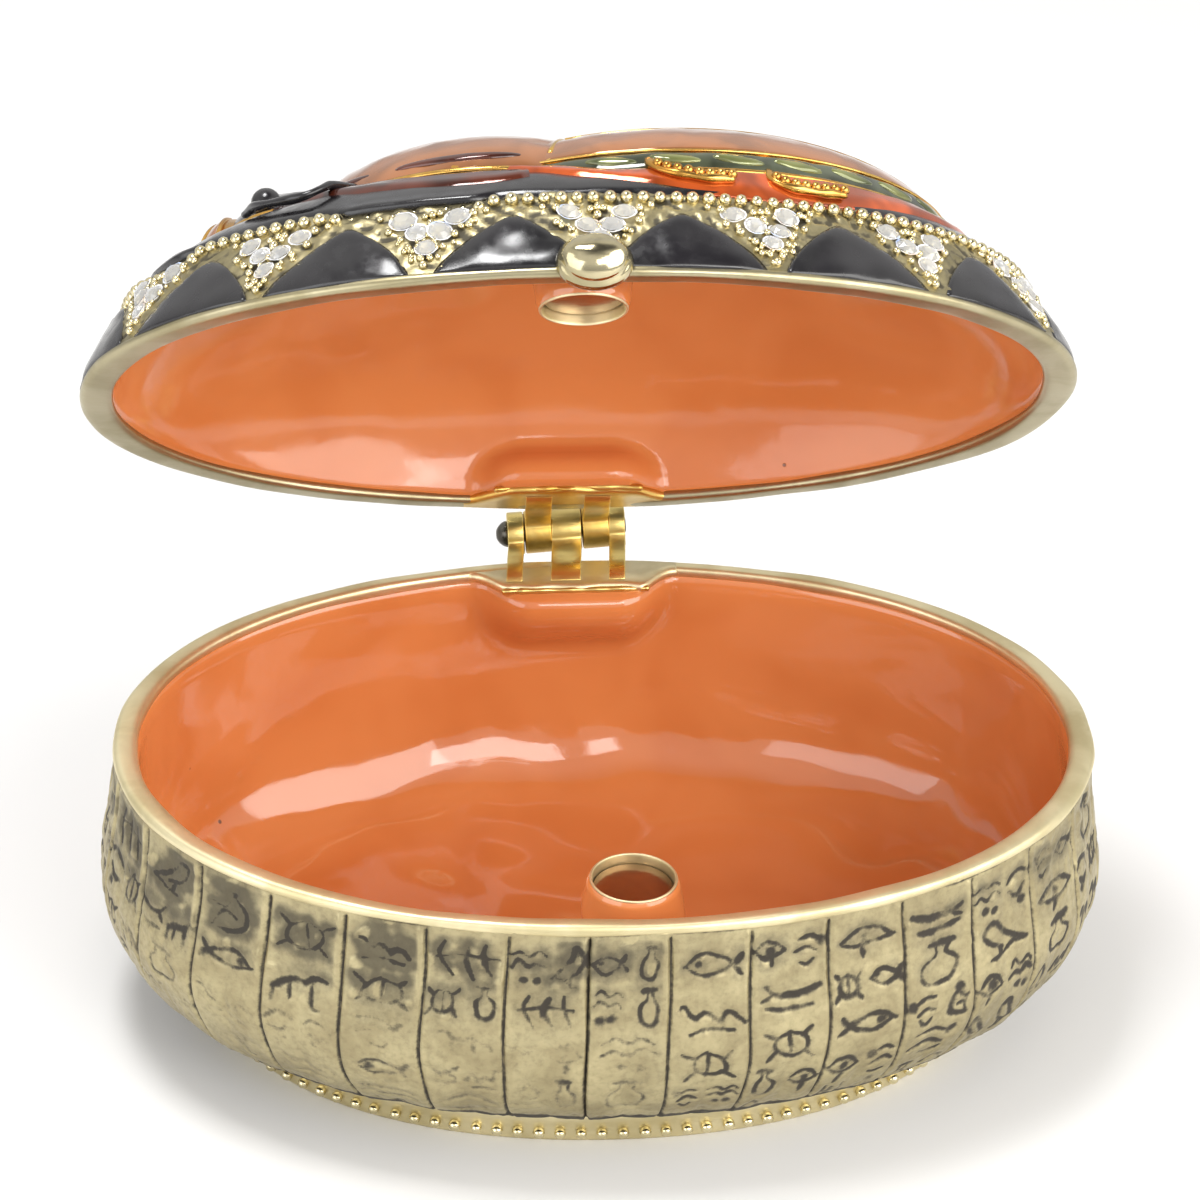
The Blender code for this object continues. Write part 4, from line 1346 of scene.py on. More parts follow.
def build_hinge():
    """The two leaves, the plates they are soldered to, and the pin, turned about the hinge's axis."""
    leaves = (
        # The bowl's leaf is in the lighter copy of the hinge gold, a painted highlight.
        ("bowl", "base", -1, RIM_Z, 61, "rim_gold", "bright_hinge_gold", "hinge_base_leaf"),
        ("lid", "lid", 1, LID_Z, 63, "hinge_gold", "hinge_gold", "hinge_lid_leaf"),
    )
    for name, body, side, rim, seed, plate_look, look, solid in leaves:
        plate = platform_shape(side, rim, seed)
        add_piece(f"{name}_hinge_plate", body, plate_look, plate)
        leaf = leaf_shape(side, rim, seed + 1)
        add_piece(f"hinge_leaf_{name}", body, look, leaf, stands_for=(solid,))
    head = -HINGE_HALF + 0.08
    tail = HINGE_HALF - 0.02
    profile = np.array(
        [(head - 0.95, 0.0), (head - 0.92, 0.4), (head - 0.62, 0.82), (head - 0.25, 1.06), (head, 1.08),
         (head + 0.04, 0.8), (head + 0.3, 0.75), (tail - 0.1, 0.75), (tail, 0.6), (tail, 0.0)]
    )
    path = rounded(profile, 1)[1:-1]
    upright = rings((AXIS_Y, AXIS_Z), path[:, 1:], path[:, :1] + HINGE_X, 18)
    pin = tilted(ring_shape(np.roll(upright, 1, -1), loop=False))
    add_piece("hinge_pin_turned", "base", "pin_steel", pin, stands_for=("hinge_pin",))


def build_magnets():
    """The two magnets: round nickel faces just inside the lips of their cups."""
    profile = np.array(
        [(0.0, 0.75), (2.7, 0.75), (2.9, 0.8), (MAGNET_R, 0.92), (MAGNET_R, MAGNET_DEPTH),
         (0.0, MAGNET_DEPTH)]
    )
    path = rounded(profile, 1)[1:-1]
    for body, x, side in (("base", BASE_CUP_X, -1), ("lid", LID_CUP_X, 1)):
        name = f"{body}_magnet"
        grid = rings((x, CUP_Y), path[:, :1], cup_top(side) + side * path[:, 1:], 48)
        disc = ring_shape(grid, loop=False)
        add_piece(f"{name}_face", body, "magnet_nickel", disc, stands_for=(name,))


# The lid, worked out shut: heights of its profiles count from its own rim


def lid_path(profile, count):
    """A profile of the lid as an even path at its height over the floor."""
    path = spaced(rounded(profile), count)
    path[:, 1] += LID_Z
    return path


def build_lid_rim():
    """The lid's satin gold rim, in a darkened copy of the rim gold that paints its shade."""
    grid = rim_ring(LID_RIM, LID_Z, 71)
    add_piece("lid_rim", "lid", "lid_rim_gold", ring_shape(grid))


def build_lid_band():
    """The gold band under the hills and stones, its face fused from small grains.

    Its grid is lifted along the normal by short random swells, and comes back behind on a coarse path.
    """
    path = lid_path(LID_BAND, 36)
    grid, normal = around(path, BAND_COLUMNS)
    inside = share(travelled(path)[:, None], 0.35, 0.9)
    grains = unevenness(grid, 1.1, 72, 44)
    grid = raised(grid, normal, 0.04 * unevenness(grid, 6.0, 73) + 0.1 * grains * inside)
    back = around(lid_path(LID_BAND_BACK, 5), BAND_COLUMNS)[0]
    shape = ring_shape(np.concatenate([grid, back]))
    hollow = padded(fall(grains, -0.8, 0.2) * inside * 0.9, back)
    fields = {"hollow": hollow, "grime": np.full(len(hollow), 0.05)}
    add_piece(
        "lid_band", "lid", "antique_gold", shape, fields, stands_for=("lid_shell",)
    )


def hill_half_width(v):
    """Half width of a hill at a share v of its height: 5.65 * (1 - v^1.35)^0.84."""
    return 5.65 * (1 - v**1.35) ** 0.84


# Where a hill starts and ends up the band
HILL_FOOT = 0.12
HILL_TOP = 5.55
# The row of beads over the stones: half length of its oval, distance up the band and spacing in radii
LID_BEAD_LINE = 34.1
LID_BEAD_UP = 7.15
LID_BEAD_SPACING = 2.36
# Small grains scattered in each triangle
SMALL_GRAINS = 26
# How far the lid's pattern of hills and stones has slipped round towards the right
SLIPPED = 0.85


def build_hills():
    """The black enamel hills, each a slab over the band, its crown (1 - |u|^3)(1 - |2v - 0.98|^5)."""
    count = sizes().hills
    path = lid_path(LID_BAND, 60)
    v = np.linspace(0.0, 0.992, 22)[:, None]
    u = np.linspace(-1.0, 1.0, 25)[None, :]
    along = HILL_FOOT + (HILL_TOP - HILL_FOOT) * v
    hills = []
    random = np.random.default_rng(81)
    for number in range(count):
        middle = (number + 0.5) / count + SLIPPED / ROUND_LENGTH + random.normal(0, 0.0006)
        stretch = random.uniform(0.97, 1.02)
        turn = middle + u * hill_half_width(v) * stretch / ROUND_LENGTH
        crown = (1 - np.abs(u) ** 3) * (1 - np.abs(2 * v - 0.98) ** 5)
        top, normal = skin(path, turn, along, 0.1 + 0.26 * crown)
        top = raised(top, normal, 0.05 * unevenness(top, 3.5, 82))
        bottom = skin(path, turn, along, -0.25)[0]
        hills.append(slab_shape(top, bottom))
    add_piece("lid_black_hills", "lid", "black_enamel", join(hills))


# Grains and stones of one triangle between two hills: distance up the band, distance to the side, size
GRAINS = (
    (5.35, 0.0, 1.0), (5.2, -0.6, 0.9), (5.3, 0.55, 0.95), (5.35, -3.15, 1.0), (5.3, 3.2, 1.05),
    (5.5, -4.2, 0.85), (5.5, 4.2, 0.9), (4.55, 0.0, 1.0), (4.0, -3.1, 1.0), (4.05, 3.1, 1.0),
    (3.5, 0.0, 0.85), (3.3, -2.05, 0.95), (3.35, 2.0, 0.9), (2.5, -1.25, 1.0), (2.45, 1.3, 0.9),
    (1.55, -0.35, 0.95), (1.45, 0.5, 0.9), (0.85, 0.05, 1.05),
)
STONES = ((4.85, -2.25, 1.05), (4.8, 2.1, 1.0), (3.75, -0.9, 0.95), (3.6, 0.95, 0.95), (2.35, 0.05, 0.85))


def set_round_lid(pattern, seed, scatter):
    """Shares of the way round, distances up the band and sizes of a pattern set in every triangle."""
    count = sizes().hills
    random = np.random.default_rng(seed)
    table = np.tile(np.array(pattern), (count, 1))
    middles = np.repeat(np.arange(count), len(pattern)) / count
    turn = middles + (SLIPPED + table[:, 1] + random.normal(0, scatter, len(table))) / ROUND_LENGTH
    up = 1.14 * table[:, 0] + random.normal(0, scatter, len(table))
    return turn, up, table[:, 2] * random.uniform(0.92, 1.08, len(table)), random


def build_grains():
    """The small gold grains between the stones: a pattern of larger ones, and scattered smaller ones."""
    path = lid_path(LID_BAND, 60)
    turn, up, scale, random = set_round_lid(GRAINS, 91, 0.06)
    hills = sizes().hills
    count = hills * SMALL_GRAINS
    small_up = random.uniform(0.9, 6.5, count)
    reach = 0.05 + 0.7 * small_up * random.uniform(-1, 1, count)
    small_turn = random.integers(0, hills, count) / hills + (SLIPPED + reach) / ROUND_LENGTH
    turn, up = np.concatenate([turn, small_turn]), np.concatenate([up, small_up])
    scale = np.concatenate([scale, random.uniform(0.5, 0.8, count)])
    place_at, normal = skin(path, turn, up, 0.1)
    shape = repeat(ball(7, 5), place_at, upright_axes(normal), scale * sizes().grain)
    add_piece("lid_grains", "lid", "bead_gold", shape)


def build_lid_beads():
    """The row of beads over the stones; the ledge's enamel has run over a few, which stand lower."""
    size = sizes()
    path = lid_path(LID_BAND, 60)
    count = round(ROUND_LENGTH * LID_BEAD_LINE / HALF_LENGTH / (LID_BEAD_SPACING * size.lid_bead))
    random = np.random.default_rng(92)
    turn = (np.arange(count) + 0.5) / count + random.normal(0, 0.0001, count)
    place_at, normal = skin(path, turn, np.full(count, LID_BEAD_UP), 0.22)
    drowned = in_run(place_at[:, 0], place_at[:, 1])
    place_at = raised(place_at, normal, -0.7 * drowned)
    radii = size.lid_bead * random.uniform(0.92, 1.06, count)
    shape = repeat(ball(), place_at, upright_axes(normal), radii)
    add_piece("lid_beads", "lid", "bead_gold", shape)


def in_run(x, y):
    """1 where the ledge's enamel has run down over the beads, at the front left."""
    first = share(x, -18.6, -16.8) * fall(x, -8.4, -6.2)
    second = fall(x, -29.5, -27.5) * share(x, -34.5, -33.0)
    return np.maximum(first, second) * fall(y, -12.0, -6.0)


def stone_shape():
    """A round stone, radius 1: an eight sided table and girdle, and a point below."""
    table = rings((0, 0), 0.56, 0.36, 8, math.pi / 8)
    points = np.concatenate([table, rings((0, 0), 1.0, 0.0, 8), [(0, 0, -0.62)]])
    k = np.arange(8)
    after = (k + 1) % 8
    crown = np.stack([k, 8 + k, 8 + after], 1)
    corners = np.stack([k, 8 + after, after], 1)
    keel = np.stack([8 + after, 8 + k, np.full(8, 16)], 1)
    return points, [np.arange(8)[None], np.concatenate([crown, corners, keel])]


def foil_shape():
    """The cup behind a stone, radius 1: two cones, one inside the other, joined at their brims."""
    rows = np.array([(0.05, -0.85), (1.14, -0.02), (1.03, -0.05), (0.05, -0.68)])
    return ring_shape(rings((0, 0), rows[:, :1], rows[:, 1:], 12), loop=False)


def build_stones():
    """Clear stones over foil, five to a triangle, each turned and tilted a little."""
    path = lid_path(LID_BAND, 60)
    turn, up, scale, random = set_round_lid(STONES, 93, 0.09)
    place_at, normal = skin(path, turn, up, 0.24)
    first, second, third = np.moveaxis(upright_axes(normal + random.normal(0, 0.09, normal.shape)), 1, 0)
    spin = random.uniform(0, TAU, len(place_at))
    spun = np.stack([*turned(first, second, spin[:, None]), third], 1)
    radii = scale * sizes().stone
    stones = repeat(stone_shape(), place_at, spun, radii)
    cups = repeat(foil_shape(), place_at, spun, radii)
    add_piece("lid_stones", "lid", "crystal_glass", stones, flat=True)
    add_piece("lid_stone_foils", "lid", "crystal_foil", cups)


def build_ledge():
    """The black enamel ledge between the beads and the scarab, with a lip that has run down."""
    path = lid_path(LEDGE, 28)
    turn = steps(LEDGE_COLUMNS)[None, :]
    down = travelled(path)[:, None]
    level = skin(path, turn, down)[0]
    run = in_run(level[:1, :, 0], level[:1, :, 1])
    started = 1.35 * (1 - run) + 0.075 * unevenness(level[:1], 9.0, 95)
    along = np.clip(started, 0, None) + (down[-1] - started) * (down / down[-1])
    crown = 0.12 * np.sin(math.pi * np.clip(down / down[-1] * 4, 0, 0.5))
    lift = crown + 0.34 * run * fall(down, 0.5, 1.2)
    grid, normal = skin(path, turn, along, lift)
    grid = raised(grid, normal, 0.04 * unevenness(grid, 4.0, 96))
    back = around(lid_path(LEDGE_BACK, 5), LEDGE_COLUMNS)[0]
    shape = ring_shape(np.concatenate([grid, back]))
    add_piece("lid_ledge", "lid", "black_enamel", shape)


# The scarab

# The lid's plain dome under it as (half length, height over the lid's rim)
DOME = (
    (0.0, 16.0), (13.0, 14.9), (20.5, 13.0), (25.0, 11.6), (28.8, 10.4), (31.0, 9.2), (32.8, 7.95),
    (34.0, 6.75),
)
# Turns at which the wing cases' and the shield's margins end, and the rise that all but reaches the top
WING_ENDS = (-2.75, 2.75)
SHIELD_ENDS = (1.45, TAU - 1.45)
TOP_RISE = 1.5705
# Leaf cells round the wing cases, and the turn that each takes up
LEAF_CELLS = 26
LEAF_TURN = 0.19


def dome_z(x, y):
    """Height of the lid's plain dome over the floor, by the size of the oval through X and Y."""
    radius = (np.abs(x) ** SQUARENESS + np.abs(y / NARROWING) ** SQUARENESS) ** (1 / SQUARENESS)
    table = np.array(DOME)
    return LID_Z + np.interp(radius, table[:, 0], table[:, 1])


def swelling(form, turn, rise, lift=0.0):
    """Points on a swelling: an ellipsoid squared off by a power, by its turn and its rise.

    The level radius is cos(rise)^(2/n) and the height sin(rise)^(2/n), each times its half size.
    """
    (cx, cy, ch), (a, b, c) = form
    level = np.cos(rise) ** (2 / FULLNESS)
    tall = np.sin(rise) ** (2 / FULLNESS)
    point = points_of(cx + a * level * np.cos(turn), cy + b * level * np.sin(turn), LID_Z + ch + c * tall)
    point[..., 2] = np.maximum(point[..., 2], dome_z(point[..., 0], point[..., 1]) - 0.1)
    out = level ** (FULLNESS - 1)
    normal = points_of(out * np.cos(turn) / a, out * np.sin(turn) / b, tall ** (FULLNESS - 1) / c)
    normal = normal / np.linalg.norm(normal, axis=-1, keepdims=True)
    return raised(point, normal, np.asarray(lift)), normal


def turn_and_rise(form, x, y):
    """Turn and rise on a swelling of the point above X and Y."""
    (cx, cy, _), (a, b, _) = form
    across, along = (x - cx) / a, (y - cy) / b
    level = np.clip(np.hypot(across, along), 0, 0.9995)
    return np.arctan2(along, across), np.arccos(level ** (FULLNESS / 2))


def casting_shape(form, seed):
    """The metal of one swelling, closed underneath just below the dome."""
    rise = np.linspace(0.03, math.pi / 2 - 0.02, 28)[:, None]
    top, normal = swelling(form, steps(110) * TAU, rise, 0.1)
    top = raised(top, normal, 0.06 * unevenness(top, 3.0, seed) - 0.2)
    under = top[::3].copy()
    under[..., 2] = dome_z(under[..., 0], under[..., 1]) - 0.45
    return ring_shape(np.concatenate([under[::-1], top]), loop=False)


def patch_shape(form, turns, rises, thickness, seed, rows=14, columns=None, bow=0.0, cap=False):
    """A field of enamel on a swelling between two turns and two rises, rounded down at its edges.

    Its thickness falls off as 1 - |2u - 1|^8 along it and 1 - |2v - 1|^4 up it. With a bow, its
    ends draw in to a leaf's points. A cap stays thick up to the top of the swelling.
    """
    columns = columns or max(int(abs(turns[1] - turns[0]) * 26), 8)
    u = np.linspace(0, 1, columns)[None, :]
    v = np.linspace(0, 1, rows)
    if cap:
        v = np.append(v[:-1], (0.999, 1.0))
    v = v[:, None]
    across = np.clip(1 - 2 * v, 0, 1) if cap else np.abs(2 * v - 1)
    edge = (1 - np.abs(2 * u - 1) ** (60 if cap else 8)) * (1 - across**4)
    turn = turns[0] + (turns[1] - turns[0]) * u
    middle = (rises[0] + rises[1]) / 2
    spread = (rises[1] - rises[0]) / 2 * (1 - bow + bow * np.sin(math.pi * u) ** 0.8)
    lean = bow * 0.5 * (rises[1] - rises[0]) * (u - 0.5)
    rise = middle + lean + spread * (2 * v - 1)
    top, normal = swelling(form, turn, rise, -0.05 + thickness * edge)
    top = raised(top, normal, 0.035 * unevenness(top, 2.5, seed))
    bottom = swelling(form, turn, rise, -0.3)[0]
    return slab_shape(top, bottom)


def wire_on(form, turn, rise, radius, lift=0.02):
    """A gold wire on a swelling through points given by turn and rise."""
    route = swelling(form, np.asarray(turn, float), np.asarray(rise, float), lift)[0]
    return tube_shape(route, radius * sizes().wire_scale, 7)


def skirt_shape(form, reach, turns, top_rise, seed):
    """The margin that spreads from a swelling's foot over the ledge.

    Straight lines run in from the dome to the swelling, raised by a quarter circle at the outer edge.
    """
    (cx, cy, _), (a, b, _) = form
    turn = np.linspace(*turns, max(int(abs(turns[1] - turns[0]) * 26), 12))[None, :]
    foot_x = cx + (a + reach[0]) * np.cos(turn)
    foot_y = cy + (b + reach[1]) * np.sin(turn)
    foot = points_of(foot_x, foot_y, dome_z(foot_x, foot_y))
    head = swelling(form, turn, top_rise, 0.04)[0]
    v = np.linspace(0, 1, 13)[:, None, None]
    swollen = np.sqrt(np.clip(1 - (1 - np.clip(v * 4, 0, 1)) ** 2, 0, 1)) * 0.62
    top = foot + (head - foot) * v
    top[..., 2] += (swollen * (1 - share(v, 0.7, 1.05)))[..., 0] - 0.05
    top[..., 2] += 0.05 * unevenness(top, 3.0, seed)
    bottom = top.copy()
    under = dome_z(bottom[..., 0], bottom[..., 1]) - 0.4
    bottom[..., 2] = np.minimum(under, top[..., 2] - 0.15)
    return slab_shape(top, bottom)


def build_castings():
    """The scarab's metal body under its enamels."""
    shapes = [casting_shape(form, 101 + k) for k, form in enumerate((WING_CASES, PRONOTUM, HEAD, CLYPEUS))]
    add_piece("scarab_body", "lid", "scarab_gold", join(shapes))


def ring_wire(form, ends, rise, radius, count):
    """A wire that goes round a swelling between two turns, at one rise."""
    return wire_on(form, np.linspace(*ends, count), np.full(count, rise), radius)


def build_wing_cases():
    """Red margin, green leaf cells, ribbed amber backs and the wires between them."""
    margin = skirt_shape(WING_CASES, (1.3, 1.2), WING_ENDS, 0.13, 111)
    add_piece("wing_red_margin", "lid", "red_enamel", margin)
    green = patch_shape(WING_CASES, WING_ENDS, (0.155, 0.315), 0.12, 112)
    add_piece("wing_green_band", "lid", "green_enamel", green)
    leaves = []
    for start in np.linspace(WING_ENDS[0] + 0.04, WING_ENDS[1] - 0.24, LEAF_CELLS):
        turns = (start, start + LEAF_TURN) if start > 0 else (start + LEAF_TURN, start)
        leaves.append(patch_shape(WING_CASES, turns, (0.19, 0.285), 0.3, 113, 7, 11, 0.9))
    add_piece("wing_leaf_cells", "lid", "leaf_enamel", join(leaves))
    backs = []
    for side in (-1, 1):
        turns = (side * 0.012, side * math.pi * 0.995)
        backs.append(patch_shape(WING_CASES, turns, (0.34, TOP_RISE), 0.1, 114, 34, 64, cap=True))
    add_piece("wing_amber_backs", "lid", "amber_enamel", join(backs))
    wires = [
        ring_wire(WING_CASES, WING_ENDS, 0.14, 0.26, 130),
        ring_wire(WING_CASES, WING_ENDS, 0.327, 0.13, 130),
    ]
    x = np.linspace(-1.0, 26.4, 50)
    reach = np.sqrt(np.clip(1 - ((x - 6.6) / 21.6) ** 2, 0, 1))
    for out in (-0.25, -0.5, -0.75, 0.25, 0.5, 0.75):
        route = turn_and_rise(WING_CASES, x, out * 20.3 * reach)
        wires.append(wire_on(WING_CASES, *route, 0.13, -0.02))
    x = np.linspace(0.4, 27.4, 60)
    wires.append(wire_on(WING_CASES, *turn_and_rise(WING_CASES, x, 0.001), 0.2, -0.05))
    add_piece("wing_wires", "lid", "scarab_gold", join(wires))


def build_pronotum():
    """The shield behind the head: brown margin, orange line, dark slots and amber back."""
    margin = skirt_shape(PRONOTUM, (2.8, 1.9), SHIELD_ENDS, 0.12, 121)
    add_piece("pronotum_margin", "lid", "brown_enamel", margin)
    band = patch_shape(PRONOTUM, SHIELD_ENDS, (0.13, 0.245), 0.12, 122)
    add_piece("pronotum_orange_line", "lid", "red_enamel", band)
    slots = []
    for middle in (-1.75, 1.75, -2.5, 2.5, math.pi):
        turns = (middle - 0.32, middle + 0.32)
        slots.append(patch_shape(PRONOTUM, turns, (0.35, 0.44), 0.24, 123, 9, 20, 0.7))
    add_piece("pronotum_slots", "lid", "brown_enamel", join(slots))
    back = patch_shape(PRONOTUM, (-0.12, TAU + 0.12), (0.265, TOP_RISE), 0.14, 124, 38, 114, cap=True)
    add_piece("pronotum_back", "lid", "amber_enamel", back)
    y = np.linspace(-17.5, 17.5, 60)
    across = wire_on(PRONOTUM, *turn_and_rise(PRONOTUM, 0.2 - 0.008 * y**2, y), 0.26, 0.08)
    wires = join([ring_wire(PRONOTUM, SHIELD_ENDS, 0.255, 0.26, 130), across])
    add_piece("pronotum_wires", "lid", "scarab_gold", wires)


def build_head():
    """Head and toothed clypeus: dark enamel, amber cheeks, two eyes and gold edges."""
    dark = patch_shape(HEAD, (0.9, TAU - 0.9), (0.45, TOP_RISE), 0.12, 131, 20, 70, cap=True)
    add_piece("head_dark_field", "lid", "black_enamel", dark)
    cheeks = []
    for side in (-1, 1):
        cheeks.append(patch_shape(HEAD, (side * 1.75, side * 2.5), (0.12, 0.4), 0.16, 132, 9, 20, 0.3))
    for middle in np.linspace(-0.9, 0.9, 5):
        turns = (math.pi + middle - 0.19, math.pi + middle + 0.19)
        cheeks.append(patch_shape(CLYPEUS, turns, (0.22, 1.4), 0.16, 133, 9, 12, 0.3))
    add_piece("head_amber_fields", "lid", "amber_enamel", join(cheeks))
    wires = [
        ring_wire(HEAD, SHIELD_ENDS, 0.43, 0.22, 70),
        ring_wire(HEAD, SHIELD_ENDS, 0.1, 0.24, 70),
        ring_wire(CLYPEUS, (1.6, TAU - 1.6), 0.18, 0.3, 60),
    ]
    for middle in np.linspace(-1.15, 1.15, 6):
        rise = np.linspace(0.2, 1.2, 14)
        wires.append(wire_on(CLYPEUS, np.full(14, math.pi + middle), rise, 0.22))
    add_piece("head_wires", "lid", "scarab_gold", join(wires))
    places = swelling(HEAD, np.array([-2.0, 2.0]), 0.62, 0.1)[0]
    axes = np.broadcast_to(np.eye(3), (2, 3, 3))
    eyes = repeat(ball(20, 12), places, axes, np.full(2, 1.15))
    add_piece("scarab_eyes", "lid", "black_enamel", eyes)


def build_legs():
    """Six legs: the front pair smooth dark enamel, the others gold bars with beads along their backs."""
    bars, beads, dark = [], [], []
    for number, route in enumerate(LEG_ROUTES):
        for side in (-1, 1):
            line = smooth_route(np.array(route) * (1, side, 1) + (0, 0, LID_Z), 44)
            foot = dome_z(line[:, 0], line[:, 1])
            line[:, 2] = np.maximum(np.minimum(line[:, 2], foot + 1.0), foot + 0.2)
            swell = 0.36 + 0.12 * np.sin(np.linspace(0, 3 * math.pi, 44)) ** 2
            if number == 0:
                dark.append(tube_shape(line, 0.95 * swell, 12, 0.8))
                continue
            bars.append(tube_shape(line, swell, 10, 0.8))
            along = spaced(line, 11)[3:]
            along[:, 2] += 0.42
            upright = np.broadcast_to(np.eye(3), (len(along), 3, 3))
            beads.append(repeat(ball(), along, upright, np.full(len(along), 0.4)))
    add_piece("scarab_legs", "lid", "scarab_gold", join(bars + beads))
    add_piece("scarab_front_legs", "lid", "black_enamel", join(dark))


# The thumb knob: X, Y and height over the lid's rim of its middle, its half length and its radius
KNOB_X = 0.4
KNOB_Y = -26.5
KNOB_UP = 0.85
KNOB_HALF = 2.75
KNOB_R = 2.1


def build_knob():
    """The thumb knob: half an ellipsoid with a soft crease over its lip, and a lug behind it, in a darkened
    copy of the rim gold that paints its shade.
    """
    out = np.linspace(0.02, math.pi / 2, 26)[:, None]
    turn = steps(56) * TAU
    crease = 0.07 * hump(out, 1.1, 0.13) * fall(np.sin(turn), -0.4, 0.2)
    lobes = 0.09 * np.cos(2 * turn) * hump(out, 0.75, 0.3)
    size = 1 - crease + lobes * share(np.sin(turn), -0.3, 0.5)
    x = KNOB_X + KNOB_HALF * size * np.sin(out) * np.cos(turn)
    y = KNOB_Y - KNOB_R * size * np.cos(out)
    z = LID_Z + KNOB_UP + KNOB_R * size * np.sin(out) * np.sin(turn)
    dome = ring_shape(points_of(x, y, z), loop=False)
    lug = np.array([(y, z) for y in (-27.0, -25.2) for z in (0.05, 1.15)])
    corners = np.array([(x, y, LID_Z + z) for x in (KNOB_X - 1.7, KNOB_X + 1.7) for y, z in lug])
    faces = np.array([(0, 1, 3, 2), (4, 6, 7, 5), (0, 2, 6, 4), (1, 5, 7, 3), (0, 4, 5, 1), (2, 3, 7, 6)])
    knob = join([dome, (corners, [faces])])
    add_piece("thumb_knob", "lid", "knob_gold", knob)


def build_lid_lining():
    """The orange enamel inside the lid."""
    grid = lining_shape(LID_LINING, 1, LID_Z, 141, 3.2)
    add_piece("lid_lining", "lid", "lid_orange", pole_ring(grid))


# The stage

# The camera: degrees round and above the box, rolled and aimed off its middle, and lengths in millimetres
CAMERA_AZIMUTH = -6.5
CAMERA_ELEVATION = 32.2
CAMERA_ROLL = 1.94
CAMERA_HIGHER = 1.64
CAMERA_SIDEWAYS = -0.0713
CAMERA_AWAY = 350.0
CAMERA_TARGET_Z = 23.0
CAMERA_LENS = 137.9

# Each light: place, size in millimetres, power in watts and tint; they all face one point
LIT_POINT = (0.0, 0.0, 25.0)
LIGHTS = (
    ("key_light", (340.0, -270.0, 260.0), (460.0, 380.0), 2.0, (1.0, 0.98, 0.95)),
    ("overhead_light", (-90.0, 40.0, 460.0), (150.0, 110.0), 1.3, (1.0, 1.0, 1.0)),
    ("fill_light", (-380.0, -260.0, 160.0), (400.0, 300.0), 0.75, (0.96, 0.98, 1.0)),
    ("window_light", (120.0, -420.0, 300.0), (190.0, 140.0), 0.45, (1.0, 0.99, 0.97)),
)


def add_camera():
    """The camera: its axes turned round and up, rolled, then aimed a little higher and to one side."""
    data = bpy.data.cameras.new("camera")
    data.sensor_width = 36.0
    data.lens = CAMERA_LENS
    data.clip_start = 0.01
    camera = add_object("camera", data)
    sine, cosine = math.sin(math.radians(CAMERA_AZIMUTH)), math.cos(math.radians(CAMERA_AZIMUTH))
    level = math.cos(math.radians(CAMERA_ELEVATION))
    back = np.array([sine * level, -cosine * level, math.sin(math.radians(CAMERA_ELEVATION))])
    place_at = np.array([0.0, 0.0, CAMERA_TARGET_Z]) + back * CAMERA_AWAY
    right = np.array([cosine, sine, 0.0])
    right, up = turned(right, np.cross(back, right), math.radians(CAMERA_ROLL))
    up, back = turned(up, back, math.radians(CAMERA_HIGHER))
    right, back = turned(right, back, math.radians(CAMERA_SIDEWAYS))
    axes = Matrix(np.stack([right, up, back], 1).tolist())
    camera.matrix_world = Matrix.LocRotScale(Vector(place_at * MM), axes, None)
    bpy.context.scene.camera = camera


def add_panel_light(name, location, size, power, tint):
    """A soft rectangular light at a place, turned to face the box; lengths in millimetres."""
    data = bpy.data.lights.new(name, "AREA")
    data.shape = "RECTANGLE"
    data.size, data.size_y = size[0] * MM, size[1] * MM
    data.energy = power
    data.color = tint
    light = add_object(name, data)
    way = Vector(location) - Vector(LIT_POINT)
    light.matrix_world = Matrix.LocRotScale(Vector(location) * MM, way.to_track_quat("Z", "Y"), None)


def add_floor():
    """A pale floor, 6 metres square, a little uneven in its shine."""
    values = {"Base Color": (0.76, 0.755, 0.75, 1.0), "Roughness": 0.7}
    material, tree, shader = finish("floor_paint", values)
    grain = cloud(tree, object_place(tree), 60)
    tree.links.new(between(tree, grain, 0.2, 0.8, 0.62, 0.75), shader.inputs["Roughness"])
    corners = [(x, y, 0) for x, y in ((-3.0, -3.0), (3.0, -3.0), (3.0, 3.0), (-3.0, 3.0))]
    mesh = bpy.data.meshes.new("floor")
    mesh.from_pydata(corners, [], [(0, 1, 2, 3)])
    mesh.materials.append(material)
    add_object("floor", mesh)


def add_world():
    """A pale room: brightest half way up, a little greyer at the horizon and dim overhead."""
    world = bpy.data.worlds.new("room")
    bpy.context.scene.world = world
    world.use_nodes = True
    tree = world.node_tree
    background = tree.nodes["Background"]
    way = place(tree, "ShaderNodeTexCoord").outputs["Generated"]
    upward = place(tree, "ShaderNodeSeparateXYZ", {"Vector": way}).outputs["Z"]
    low = between(tree, upward, -0.05, 0.5)
    high = between(tree, upward, 0.72, 0.98)
    colour = mix_colours(tree, low, (0.6, 0.6, 0.61, 1.0), (1.0, 0.99, 0.97, 1.0))
    colour = mix_colours(tree, high, colour, (0.12, 0.12, 0.13, 1.0))
    tree.links.new(colour, background.inputs["Color"])
    background.inputs["Strength"].default_value = 0.9


def build_stage():
    """Camera, floor, room and four soft lights."""
    add_camera()
    add_floor()
    add_world()
    for light in LIGHTS:
        add_panel_light(*light)
    bpy.context.scene.view_settings.view_transform = "Standard"


# Operators


class TRINKET_OT_stage(bpy.types.Operator):
    """Add the camera, the pale floor and the soft lights"""

    bl_idname = "trinket.stage"
    bl_label = "Stage"

    def execute(self, context):
        build_stage()
        return {"FINISHED"}


class TRINKET_OT_bowl_wall(bpy.types.Operator):
    """Cast the bowl's wall with its panels of struck signs"""

    bl_idname = "trinket.bowl_wall"
    bl_label = "Bowl Wall"

    def execute(self, context):
        build_wall()
        return {"FINISHED"}


